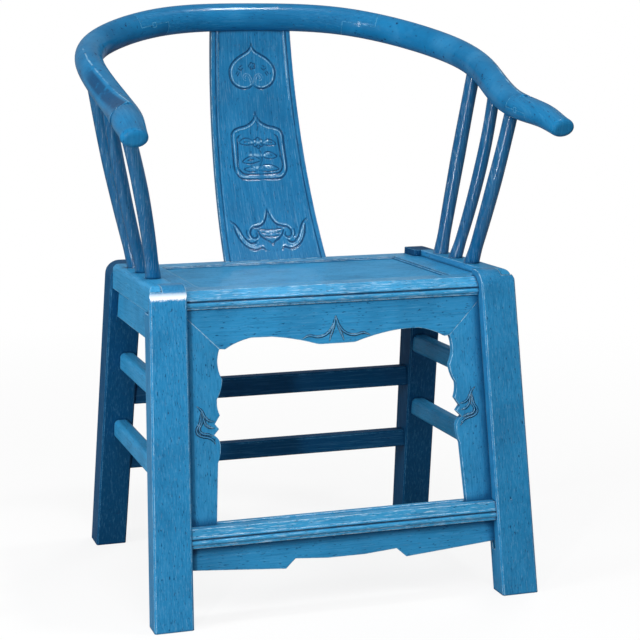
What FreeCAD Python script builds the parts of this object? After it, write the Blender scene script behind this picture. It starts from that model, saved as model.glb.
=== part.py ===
import FreeCAD, Part
import math
import os
import re
import Sketcher

# A horseshoe-back armchair in carved and jointed wood, in millimetres.
# +Z is up and the sitter faces -Y. X = 0 is the plane of symmetry, and "left" means the -X side.
# The origin is on the floor, under the middle of the whole chair.

SIZES = {
    # Legs: four splayed posts that end level with the raised side rails.
    "leg_height": 520.0,
    "top_half_width": 298.5,
    "foot_half_width": 316.6,
    "front_leg_width_top": 57.7,
    "front_leg_width_foot": 61.4,
    "front_leg_depth": 42.0,
    "front_reach_top": 212.7,
    "front_reach_foot": 279.8,
    "back_leg_width_top": 54.5,
    "back_leg_width_foot": 52.7,
    "back_leg_depth": 56.0,
    "back_reach_top": 150.3,
    "back_reach_foot": 271.1,
    "leg_ease": 2.5,
    "shoulder_radius": 30.0,
    "corner_radius": 17.0,
    "back_corner_radius": 24.0,
    # Joinery: tenons, grooves and the play that is left round them.
    "tenon_depth": 12.0,
    "deep_tenon": 24.0,
    "tenon_shoulder": 5.0,
    "groove_depth": 6.0,
    "joint_gap": 0.2,
    "overrun": 40.0,
    # Seat frame, floating panel and the battens under it.
    "seat_drop": 11.0,
    "seat_frame_thickness": 28.0,
    "front_rail_setback": 13.7,
    "front_rail_width": 49.0,
    "fascia_height": 12.0,
    "fascia_slope": 11.0,
    "quirk": 2.0,
    "small_bead": 3.5,
    "small_bead_bulge": 1.4,
    "reed_height": 8.0,
    "reed_bulge": 3.0,
    "back_rail_width": 46.3,
    "side_frame_width": 49.0,
    "panel_drop": 4.0,
    "panel_thickness": 13.0,
    "panel_tongue": 8.0,
    "panel_tongue_thickness": 6.0,
    "bead_width": 9.0,
    "batten_place": 96.0,
    "batten_width": 30.0,
    "batten_height": 24.0,
    "dovetail_depth": 5.0,
    "dovetail_flare": 2.5,
    # Raised side rails that carry the posts.
    "side_rail_inset": 2.5,
    "side_rail_width": 41.0,
    "side_rail_height": 42.0,
    "side_rail_round": 9.0,
    "lap_thickness": 18.0,
    "lap_setback": 8.5,
    "lap_nose": 22.0,
    "lap_foot_share": 0.15,
    "lap_head_share": 0.7,
    "lap_bulge_share": 0.22,
    # Aprons: thin boards under the seat and the foot rail.
    "apron_setback": 21.0,
    "apron_thickness": 11.0,
    "apron_depth": 64.0,
    "opening_corner_share": 0.96875,
    "bracket_width": 50.8,
    "bracket_step": 17.0,
    "side_apron_depth": 50.0,
    "side_apron_setback": 14.5,
    "foot_apron_depth": 36.0,
    "foot_apron_notch": 100.0,
    "foot_apron_drop": 16.0,
    "notch_inner_share": 0.84,
    "notch_middle_share": 0.3,
    "notch_edge_share": 0.25,
    "notch_rise_share": 0.15,
    "notch_sag_share": 0.1,
    # Foot rail and stretchers.
    "foot_rail_share": 0.2904,
    "foot_rail_height": 30.0,
    "foot_rail_depth": 36.0,
    "foot_rail_setback": 4.0,
    "low_stretcher_inset": 33.45,
    "high_stretcher_inset": 37.17,
    "stretcher_width": 26.0,
    "stretcher_height": 33.0,
    "stretcher_round": 8.0,
    "side_stretcher_low_share": 0.3952,
    "side_stretcher_high_share": 0.6317,
    "back_stretcher_low_share": 0.275,
    "back_stretcher_high_share": 0.5077,
    "low_back_stretcher_height": 31.0,
    "high_back_stretcher_height": 35.0,
    "back_stretcher_depth": 26.0,
    "back_stretcher_setback": 6.0,
    "back_stretcher_ease": 2.5,
    # Crest rail: how far its centre line passes the legs, and its section.
    "crest_overhang": 37.0,
    "crest_rake": 139.7,
    "arm_reach": 93.3,
    "crest_rise": 410.0,
    "arm_rise": 229.0,
    "crest_radius": 24.5,
    "grip_rounding": 9.0,
    "scarf_length": 60.0,
    "scarf_tongue": 5.0,
    "scarf_pin_width": 8.0,
    "scarf_pin_reach_share": 1.5,
    "scarf_pin_thin_share": 0.4,
    "tongue_low_share": 0.3,
    "tongue_high_share": 0.6,
    "tongue_width_share": 0.4,
    # Posts between the side rails and the crest rail.
    "front_post_inset": 14.5,
    "front_post_reach": 103.0,
    "middle_post_inset": 16.0,
    "middle_post_reach": 28.0,
    "rear_post_inset": 15.0,
    "rear_post_reach": 37.0,
    "post_bow": 13.0,
    "post_foot_radius": 13.0,
    "post_waist_radius": 11.2,
    "post_belly_radius": 12.4,
    "post_neck_radius": 11.8,
    "post_collar": 6.0,
    "post_tenon_radius": 8.0,
    "post_tenon_depth": 22.0,
    "post_head_gap": 3.0,
    # Back splat.
    "splat_half_width_foot": 91.5,
    "splat_half_width_top": 71.5,
    "splat_thickness": 13.0,
    "splat_foot_setback": 16.3,
    "splat_head_setback": 3.3,
    "splat_hollow": 36.2,
    "splat_border": 13.0,
    "splat_border_rise": 2.5,
    "splat_tenon": 14.0,
    "splat_tenon_shoulder": 3.0,
    "splat_tongue": 12.0,
}

# Levels and places that follow from the sizes, each worked out in a cell of its own.
PLACES = {
    "seat_height": "leg_height - seat_drop",
    "opening_top": "seat_height - seat_frame_thickness - apron_depth * opening_corner_share",
    "opening_half_width": "top_half_width - front_leg_width_top - bracket_width",
    "side_rail_inner": "top_half_width - side_rail_inset - side_rail_width",
    "panel_half_width": "side_rail_inner - side_frame_width",
    "front_rail_reach": "front_reach_top - front_rail_setback",
    "front_rail_inner": "front_rail_reach - front_rail_width",
    "back_rail_front": "back_reach_top - back_rail_width",
    "side_apron_place": "top_half_width - side_apron_setback",
    "foot_rail_top": "leg_height * foot_rail_share",
    "side_splay": "foot_half_width - top_half_width",
    "side_stretcher_low": "leg_height * side_stretcher_low_share",
    "side_stretcher_high": "leg_height * side_stretcher_high_share",
    "low_stretcher_place": "foot_half_width - side_splay * side_stretcher_low_share - low_stretcher_inset",
    "high_stretcher_place": "foot_half_width - side_splay * side_stretcher_high_share - high_stretcher_inset",
    "back_stretcher_low": "leg_height * back_stretcher_low_share",
    "back_stretcher_high": "leg_height * back_stretcher_high_share",
    "crest_half_width": "top_half_width + crest_overhang",
    "crest_back": "back_reach_top + crest_rake",
    "crest_front": "front_reach_top + arm_reach",
    "crest_top": "leg_height + crest_rise",
    "crest_tip": "leg_height + arm_rise",
    "front_post_side": "side_rail_inner + front_post_inset",
    "middle_post_side": "side_rail_inner + middle_post_inset",
    "rear_post_side": "side_rail_inner + rear_post_inset",
    "splat_foot": "back_reach_top - splat_foot_setback",
    "splat_head": "crest_back - splat_head_setback",
}

# How far a quarter circle bends out from its chord, and how near counts as the same place.
ARC_BULGE_SHARE = 1 - math.sqrt(1 / 2)
NEAR_SHARE = 1e-6

doc = FreeCAD.newDocument("horseshoe_armchair")
sheet = doc.addObject("Spreadsheet::Sheet", "Sizes")
CELLS = {**SIZES, **{name: f"={formula}" for name, formula in PLACES.items()}}
for row, (alias, content) in enumerate(CELLS.items(), start=1):
    sheet.set(f"A{row}", alias)
    sheet.setAlias(f"B{row}", alias)
    sheet.set(f"B{row}", str(content))
doc.recompute()


def bound(formula):
    """The formula with each size written as a reference to its cell in the sheet."""
    return re.sub(r"[a-z_]+", lambda word: f"Sizes.{word[0]}" if word[0] in CELLS else word[0], formula)


def number(formula):
    """The value that a formula has now, as a plain number."""
    result = sheet.evalExpression(bound(formula))
    return float(getattr(result, "Value", result))


def along_leg(foot, top, height):
    """A place on a leg's straight line from its foot to its top, at a height."""
    return f"(({foot}) + (({top}) - ({foot})) * ({height}) / leg_height)"


def outer_side(height):
    return along_leg("foot_half_width", "top_half_width", height)


def front_inner(height):
    return along_leg("foot_half_width - front_leg_width_foot", "top_half_width - front_leg_width_top", height)


def back_inner(height):
    return along_leg("foot_half_width - back_leg_width_foot", "top_half_width - back_leg_width_top", height)


def front_face(height):
    return along_leg("-front_reach_foot", "-front_reach_top", height)


def front_leg_rear(height):
    return f"({front_face(height)} + front_leg_depth)"


def back_leg_front(height):
    return along_leg("back_reach_foot - back_leg_depth", "back_reach_top - back_leg_depth", height)


def apron_face(height):
    return f"({front_face(height)} + apron_setback)"


def apron_edge(height):
    """How far the boards between the front legs reach to the side, with their edges in the grooves."""
    return f"({front_inner(height)} + groove_depth)"


def draw(body, role, corners, offset):
    """A closed outline in a sketch. Each corner is (u, v), or (u, v, bulge) where an arc leaves it.

    A positive bulge bends the arc to the right of the way from this corner to the next.
    """
    sketch = body.newObject("Sketcher::SketchObject", f"{body.Name}_sketch")
    plane = next(feature for feature in body.Origin.OriginFeatures if feature.Role == role)
    sketch.AttachmentSupport = [(plane, "")]
    sketch.MapMode = "FlatFace"
    sketch.setExpression("AttachmentOffset.Base.z", bound(offset))
    places = [FreeCAD.Vector(number(corner[0]), number(corner[1]), 0) for corner in corners]
    ends = []
    for index, corner in enumerate(corners):
        here, there = places[index], places[(index + 1) % len(corners)]
        if len(corner) == 2:
            sketch.addGeometry(Part.LineSegment(here, there), False)
            ends.append((1, 2))
            continue
        bulge = number(corner[2])
        step = (there - here).normalize()
        middle = (here + there) / 2 + FreeCAD.Vector(step.y, -step.x, 0) * bulge
        if bulge > 0:
            sketch.addGeometry(Part.Arc(here, middle, there), False)
            ends.append((1, 2))
        else:
            sketch.addGeometry(Part.Arc(there, middle, here), False)
            ends.append((2, 1))
        following = corners[(index + 1) % len(corners)]
        chord = " + ".join(f"(({following[axis]}) - ({corner[axis]})) ^ 2" for axis in (0, 1))
        radius = f"(({chord}) / 4 + ({corner[2]}) ^ 2) / (2 * abs({corner[2]}))"
        bend = sketch.addConstraint(Sketcher.Constraint("Radius", index, number(radius)))
        sketch.setExpression(f"Constraints[{bend}]", bound(radius))
    for index, corner in enumerate(corners):
        following = (index + 1) % len(corners)
        joined = Sketcher.Constraint("Coincident", index, ends[index][1], following, ends[following][0])
        sketch.addConstraint(joined)
        for kind, formula, place in zip(("DistanceX", "DistanceY"), corner, places[index]):
            fixed = sketch.addConstraint(Sketcher.Constraint(kind, -1, 1, index, ends[index][0], place))
            sketch.setExpression(f"Constraints[{fixed}]", bound(formula))
    return sketch


def prism(name, role, corners, start, length):
    """An outline padded from start by length, along the axis across its plane."""
    body = doc.addObject("PartDesign::Body", name)
    flipped = role == "XZ_Plane"
    sketch = draw(body, role, corners, f"-({start})" if flipped else start)
    pad = body.newObject("PartDesign::Pad", f"{name}_pad")
    pad.Profile = sketch
    pad.Reversed = flipped
    pad.setExpression("Length", bound(length))
    return body


def from_front(name, corners, start, length):
    return prism(name, "XZ_Plane", corners, start, length)


def from_side(name, corners, start, length):
    return prism(name, "YZ_Plane", corners, start, length)


def block(name, left, right, front, back, bottom, top):
    """A box between six planes."""
    box = doc.addObject("Part::Box", name)
    for side, axis, low, high in (
        ("Length", "x", left, right),
        ("Width", "y", front, back),
        ("Height", "z", bottom, top),
    ):
        box.setExpression(side, bound(f"({high}) - ({low})"))
        box.setExpression(f"Placement.Base.{axis}", bound(low))
    return box


def common(name, *shapes):
    shared = doc.addObject("Part::MultiCommon", name)
    shared.Shapes = list(shapes)
    return shared


def fuse(name, *shapes):
    fused = doc.addObject("Part::MultiFuse", name)
    fused.Shapes = list(shapes)
    fused.Refine = True
    return fused


def cut(name, base, *tools):
    """The base less its tools."""
    piece = doc.addObject("Part::Cut", name)
    piece.Base = base
    piece.Tool = tools[0] if len(tools) == 1 else fuse(f"{name}_tools", *tools)
    return piece


def other_side(name, source):
    """The same piece on the left, as a mirror image in the plane X = 0."""
    twin = doc.addObject("Part::Mirroring", name)
    twin.Source = source
    twin.Normal = FreeCAD.Vector(1, 0, 0)
    return twin


def round_corner(body, radius, **place):
    """Rounds the straight edge whose ends both lie at the place, such as y and z."""
    doc.recompute()
    base = body.Tip
    wanted = {axis: number(formula) for axis, formula in place.items()}
    near = NEAR_SHARE * number("leg_height")
    edges = [
        f"Edge{index}"
        for index, edge in enumerate(base.Shape.Edges, start=1)
        if all(
            abs(getattr(end.Point, axis) - goal) < near
            for end in edge.Vertexes
            for axis, goal in wanted.items()
        )
    ]
    fillet = body.newObject("PartDesign::Fillet", f"{body.Name}_round")
    fillet.Base = (base, edges)
    fillet.setExpression("Radius", bound(radius))


def eased_rectangle(left, right, low, high, ease):
    """The corners of a rectangle whose own corners are cut off by the ease."""
    return [
        (f"{left} + {ease}", low),
        (f"{right} - {ease}", low),
        (right, f"{low} + {ease}"),
        (right, f"{high} - {ease}"),
        (f"{right} - {ease}", high),
        (f"{left} + {ease}", high),
        (left, f"{high} - {ease}"),
        (left, f"{low} + {ease}"),
    ]


def rounded_rectangle(left, right, low, high, radius):
    """The corners of a rectangle with an arc at each corner."""
    bulge = f"{radius} * {ARC_BULGE_SHARE}"
    corners = eased_rectangle(left, right, low, high, radius)
    return [corner if index % 2 == 0 else (*corner, bulge) for index, corner in enumerate(corners)]


# A reach that passes any side of the chair, and levels that several pieces share.
SIDE_REACH = "(foot_half_width + top_half_width)"
SEAT_UNDERSIDE = "(seat_height - seat_frame_thickness)"
SIDE_RAIL_UNDERSIDE = "(leg_height - side_rail_height)"
SIDE_RAIL_OUTER = "(side_rail_inner + side_rail_width)"
FOOT_RAIL_UNDERSIDE = "(foot_rail_top - foot_rail_height)"
PANEL_TOP = "(seat_height - panel_drop)"
PANEL_UNDERSIDE = "(seat_height - panel_drop - panel_thickness)"
BACK_RAIL_REAR = "back_reach_top"


def leg_blank(name, foot, top, front_foot, front_top, depth):
    """A tapered, splayed leg with eased arrises, before any mortise is cut."""
    body = doc.addObject("PartDesign::Body", name)
    sections = []
    for width, half, front, height in (
        (foot, "foot_half_width", front_foot, "0"),
        (top, "top_half_width", front_top, "leg_height"),
    ):
        corners = eased_rectangle(f"{half} - {width}", half, front, f"{front} + {depth}", "leg_ease")
        sections.append(draw(body, "XY_Plane", corners, height))
    loft = body.newObject("PartDesign::AdditiveLoft", f"{name}_loft")
    loft.Profile = sections[0]
    loft.Sections = sections[1:]
    loft.Ruled = True
    return body


def shoulder_from_front(name, radius):
    """Everything under the rounded outer shoulder of a leg, seen from the front."""
    corners = [("0", "0"), ("foot_half_width", "0"), ("top_half_width", "leg_height"), ("0", "leg_height")]
    body = from_front(
        name, corners, "-front_reach_foot - overrun", "front_reach_foot + back_reach_foot + 2 * overrun"
    )
    round_corner(body, radius, x="top_half_width", z="leg_height")
    return body


def shoulder_from_side(name):
    """Everything behind the rounded front shoulder of a front leg, seen from the side."""
    corners = [
        ("-front_reach_foot", "0"),
        ("back_reach_foot", "0"),
        ("back_reach_foot", "leg_height"),
        ("-front_reach_top", "leg_height"),
    ]
    body = from_side(name, corners, "0", SIDE_REACH)
    round_corner(body, "shoulder_radius", y="-front_reach_top", z="leg_height")
    return body


def crossways_tenon(name, inner, width_low, width_high, low, high, play):
    """A bar along X whose ends are the tenons in both legs of a pair, or their mortises with play."""
    reach = f"{inner} + tenon_depth + {play}"
    return block(
        name, f"-({reach})", reach, f"{width_low} - {play}", f"{width_high} + {play}",
        f"{low} - {play}", f"{high} + {play}"
    )


def lengthways_tenon(name, left, right, front, back, low, high, play):
    """A bar along Y from a front leg to a back leg, or the mortises for it with play."""
    return block(
        name, f"{left} - {play}", f"{right} + {play}", f"{front} - {play}", f"{back} + {play}",
        f"{low} - {play}", f"{high} + {play}",
    )


def leaning_slab(name, face, low, high, play, side):
    """A thin slab parallel to the fronts of the legs, for the aprons or the grooves that hold them."""
    corners = [
        (f"{face(low)} - {play}", low),
        (f"{face(low)} + apron_thickness + {play}", low),
        (f"{face(high)} + apron_thickness + {play}", high),
        (f"{face(high)} - {play}", high),
    ]
    return from_side(name, corners, f"-({side})", f"2 * ({side})")


# Heights between which each tenon lies.
SEAT_TENON = (f"{SEAT_UNDERSIDE} + tenon_shoulder", "seat_height - 2 * tenon_shoulder")
FOOT_TENON = (f"{FOOT_RAIL_UNDERSIDE} + 2 * tenon_shoulder", "foot_rail_top - tenon_shoulder")
SIDE_TENON = (f"{SIDE_RAIL_UNDERSIDE} + 2 * tenon_shoulder", "leg_height - 2 * tenon_shoulder")
SIDE_TENON_SPAN = ("side_rail_inner + tenon_shoulder", f"{SIDE_RAIL_OUTER} - lap_thickness - tenon_shoulder")
FOOT_RAIL_FRONT = f"({front_face('foot_rail_top')} + foot_rail_setback)"
APRON_TOP = f"({SEAT_UNDERSIDE} + groove_depth)"
FOOT_APRON_LOW = f"({FOOT_RAIL_UNDERSIDE} - foot_apron_depth - foot_apron_drop)"
# Each side stretcher's underside and middle, and each back stretcher's underside and height.
SIDE_STRETCHERS = {
    "lower": ("side_stretcher_low", "low_stretcher_place"),
    "upper": ("side_stretcher_high", "high_stretcher_place"),
}
BACK_STRETCHERS = {
    "lower": ("back_stretcher_low", "low_back_stretcher_height"),
    "upper": ("back_stretcher_high", "high_back_stretcher_height"),
}


def stretcher_tenon(name, height, place, play):
    low = f"{height} + tenon_shoulder"
    high = f"{height} + stretcher_height - tenon_shoulder"
    left = f"{place} - stretcher_width / 2 + tenon_shoulder"
    right = f"{place} + stretcher_width / 2 - tenon_shoulder"
    front = f"{front_leg_rear(high)} - tenon_depth"
    back = f"{back_leg_front(low)} + tenon_depth"
    return lengthways_tenon(name, left, right, front, back, low, high, play)


def back_stretcher_front(height):
    return f"({back_leg_front(height)} + back_stretcher_setback)"


def back_stretcher_tenon(name, height, thickness, play):
    front = f"{back_stretcher_front(height)} + tenon_shoulder"
    back = f"{back_stretcher_front(height)} + back_stretcher_depth - tenon_shoulder"
    low = f"{height} + tenon_shoulder"
    high = f"{height} + {thickness} - tenon_shoulder"
    return crossways_tenon(name, back_inner(height), front, back, low, high, play)


def side_rail_tenon(name, play):
    front = f"{front_leg_rear('leg_height')} - tenon_depth"
    back = f"{back_leg_front('leg_height')} + deep_tenon"
    return lengthways_tenon(name, *SIDE_TENON_SPAN, front, back, *SIDE_TENON, play)


def lap_outline(play, low, high):
    """The rounded nose by which a side rail laps over the outside of a front leg, seen from the side."""
    nose = "(leg_height - lap_nose)"
    return [
        (f"{front_face(low)} + lap_setback + lap_nose * lap_foot_share - {play}", low),
        (f"{front_leg_rear(low)} + overrun", low),
        (f"{front_leg_rear(low)} + overrun", high),
        (
            f"{front_face('leg_height')} + lap_setback + lap_nose * lap_head_share - {play}", high,
            "lap_nose * lap_bulge_share"
        ),
        (f"{front_face(nose)} + lap_setback - {play}", nose),
    ]


def seat_front_tenon(name, play):
    return crossways_tenon(
        name, front_inner("seat_height"), "-front_rail_reach + 2 * tenon_shoulder",
        f"{front_leg_rear('seat_height')} - tenon_shoulder", *SEAT_TENON, play
    )


def seat_back_tenon(name, play):
    return crossways_tenon(
        name, back_inner("seat_height"), "back_rail_front + 2 * tenon_shoulder",
        f"{BACK_RAIL_REAR} - 2 * tenon_shoulder", *SEAT_TENON, play
    )


def foot_rail_tenon(name, play):
    return crossways_tenon(
        name, front_inner("foot_rail_top"), f"{FOOT_RAIL_FRONT} + 2 * tenon_shoulder",
        f"{FOOT_RAIL_FRONT} + foot_rail_depth - 2 * tenon_shoulder", *FOOT_TENON, play
    )


def side_apron_slab(name, low, high, play):
    """A slab parallel to the outer sides of the legs."""
    def face(height):
        return f"({outer_side(height)} - {outer_side('leg_height')} + side_apron_place)"
    corners = [
        (f"{face(low)} - apron_thickness - {play}", low),
        (f"{face(low)} + {play}", low),
        (f"{face(high)} + {play}", high),
        (f"{face(high)} - apron_thickness - {play}", high),
    ]
    reach = "front_reach_foot + back_reach_foot"
    return from_front(name, corners, "-front_reach_foot", reach)


def side_apron_region(name, low, high, depth):
    """The space between the legs of one side, seen from the side and let into them by a depth."""
    corners = [
        (f"{front_leg_rear(low)} - {depth}", low),
        (f"{back_leg_front(low)} + {depth}", low),
        (f"{back_leg_front(high)} + {depth}", high),
        (f"{front_leg_rear(high)} - {depth}", high),
    ]
    return from_side(name, corners, "0", SIDE_REACH)


SIDE_APRON_LOW = f"({SIDE_RAIL_UNDERSIDE} - side_apron_depth)"


def make_front_leg():
    blank = leg_blank(
        "leg_front_blank", "front_leg_width_foot", "front_leg_width_top",
        "-front_reach_foot", "-front_reach_top", "front_leg_depth"
    )
    shoulder = shoulder_from_side("leg_front_shoulder")
    shaped = common(
        "leg_front_shaped", blank, shoulder_from_front("leg_front_corner", "corner_radius"), shoulder
    )
    lap_low = f"{SIDE_RAIL_UNDERSIDE} - joint_gap"
    lap = from_side(
        "leg_front_lap", lap_outline("joint_gap", lap_low, "leg_height + overrun"),
        f"{SIDE_RAIL_OUTER} - lap_thickness - joint_gap", "overrun"
    )
    groove = common(
        "leg_front_groove",
        leaning_slab(
            "leg_front_groove_slab", apron_face, FOOT_APRON_LOW, APRON_TOP, "joint_gap", "foot_half_width"
        ),
        from_front(
            "leg_front_groove_reach",
            [
                ("0", FOOT_APRON_LOW),
                (f"{apron_edge(FOOT_APRON_LOW)} + joint_gap", FOOT_APRON_LOW),
                (f"{apron_edge(APRON_TOP)} + joint_gap", APRON_TOP),
                ("0", APRON_TOP),
            ],
            "-front_reach_foot", "front_reach_foot"
        ),
    )
    side_groove = common(
        "leg_front_side_groove",
        side_apron_slab("leg_front_side_slab", SIDE_APRON_LOW, SIDE_RAIL_UNDERSIDE, "joint_gap"),
        side_apron_region(
            "leg_front_side_reach", SIDE_APRON_LOW, SIDE_RAIL_UNDERSIDE, "(groove_depth + joint_gap)"
        ),
    )
    tenons = [
        stretcher_tenon(f"leg_front_mortise_{name}", *sizes, "joint_gap")
        for name, sizes in SIDE_STRETCHERS.items()
    ]
    right = cut(
        "leg_front_right", shaped, lap, groove, side_groove,
        seat_front_tenon("leg_front_mortise_seat", "joint_gap"),
        foot_rail_tenon("leg_front_mortise_foot", "joint_gap"),
        side_rail_tenon("leg_front_mortise_side", "joint_gap"),
        *tenons
    )
    return blank, shoulder, [right, other_side("leg_front_left", right)]


def make_back_leg():
    blank = leg_blank(
        "leg_back_blank", "back_leg_width_foot", "back_leg_width_top",
        "back_reach_foot - back_leg_depth", "back_reach_top - back_leg_depth", "back_leg_depth"
    )
    shaped = common("leg_back_shaped", blank, shoulder_from_front("leg_back_corner", "back_corner_radius"))
    side_groove = common(
        "leg_back_side_groove",
        side_apron_slab("leg_back_side_slab", SIDE_APRON_LOW, SIDE_RAIL_UNDERSIDE, "joint_gap"),
        side_apron_region(
            "leg_back_side_reach", SIDE_APRON_LOW, SIDE_RAIL_UNDERSIDE, "(groove_depth + joint_gap)"
        ),
    )
    mortises = [
        stretcher_tenon(f"leg_back_mortise_{name}", *sizes, "joint_gap")
        for name, sizes in SIDE_STRETCHERS.items()
    ]
    mortises += [
        back_stretcher_tenon(f"leg_back_mortise_back_{name}", *sizes, "joint_gap")
        for name, sizes in BACK_STRETCHERS.items()
    ]
    right = cut(
        "leg_back_right", shaped, side_groove, side_rail_tenon("leg_back_mortise_side", "joint_gap"),
        seat_back_tenon("leg_back_mortise_seat", "joint_gap"), *mortises
    )
    return blank, [right, other_side("leg_back_left", right)]


def moulded_front(front, top, height, depth):
    """Side view of a rail with a sloping fascia, a small bead, a quirk and a broad reed on its front."""
    bead_top = f"{top} - fascia_height"
    bead_foot = f"{bead_top} - small_bead"
    reed_top = f"{bead_foot} - quirk"
    reed_foot = f"{reed_top} - reed_height"
    return [
        (f"{front} + fascia_slope", top),
        (front, bead_top, "small_bead_bulge"),
        (front, bead_foot),
        (f"{front} + quirk", f"{bead_foot} - quirk / 2"),
        (front, reed_top, "reed_bulge"),
        (front, reed_foot),
        (front, f"{top} - {height}"),
        (f"{front} + {depth}", f"{top} - {height}"),
        (f"{front} + {depth}", top),
    ]


def panel_groove(name, play):
    """The panel's tongue, all round, or the groove for it with play."""
    return block(
        name, f"-panel_half_width - panel_tongue - {play}", f"panel_half_width + panel_tongue + {play}",
        f"-front_rail_inner - panel_tongue - {play}", f"back_rail_front + panel_tongue + {play}",
        f"{PANEL_UNDERSIDE} + panel_tongue_thickness / 2 - {play}",
        f"{PANEL_UNDERSIDE} + panel_tongue_thickness * 3 / 2 + {play}",
    )


def bead_hollow(name):
    """The shallow cove inside the seat frame, where it falls to the panel."""
    return block(
        name, "-panel_half_width - bead_width / 2", "panel_half_width + bead_width / 2",
        "-front_rail_inner - bead_width / 2", "back_rail_front + bead_width / 2",
        "seat_height - panel_drop / 2", "seat_height + overrun",
    )


def side_frame_tenon(name, side, play):
    left, right = (f"{side} * (panel_half_width + side_rail_inner) / 2 - bead_width",
                   f"{side} * (panel_half_width + side_rail_inner) / 2 + bead_width")
    return lengthways_tenon(
        name, left, right, "-front_rail_inner - tenon_depth", "back_rail_front + tenon_depth",
        *SEAT_TENON, play
    )


def batten_tenon(name, side, play):
    left, right = (f"{side} * batten_place - batten_width / 2 + tenon_shoulder",
                   f"{side} * batten_place + batten_width / 2 - tenon_shoulder")
    return lengthways_tenon(
        name, left, right, "-front_rail_inner - tenon_depth", "back_rail_front + tenon_depth",
        f"{SEAT_UNDERSIDE} + joint_gap * 2", f"{PANEL_UNDERSIDE} - joint_gap * 2", play
    )


def batten_dovetail(name, side, play):
    """The sliding dovetail along the top of a batten, let into the panel."""
    middle = f"{side} * batten_place"
    half = "batten_width / 2 - dovetail_flare"
    corners = [
        (f"{middle} - {half} + dovetail_flare - {play}", f"{PANEL_UNDERSIDE}"),
        (f"{middle} + {half} - dovetail_flare + {play}", f"{PANEL_UNDERSIDE}"),
        (f"{middle} + {half} + {play}", f"{PANEL_UNDERSIDE} + dovetail_depth + {play}"),
        (f"{middle} - {half} - {play}", f"{PANEL_UNDERSIDE} + dovetail_depth + {play}"),
    ]
    return from_front(
        name, corners, "-front_rail_inner + joint_gap", "front_rail_inner + back_rail_front - 2 * joint_gap"
    )


def apron_tongue(name, play):
    """The slab of the front apron, long enough to enter the rail above and the rail below."""
    reach = f"({apron_edge('(foot_rail_top - groove_depth)')} + {play})"
    return common(
        name,
        leaning_slab(
            f"{name}_slab", apron_face, f"foot_rail_top - groove_depth - {play}", f"{APRON_TOP} + {play}",
            play, "foot_half_width"
        ),
        block(
            f"{name}_reach", f"-{reach}", reach, "-front_reach_foot", "0",
            f"foot_rail_top - groove_depth - {play}", f"{APRON_TOP} + {play}"
        ),
    )


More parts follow.
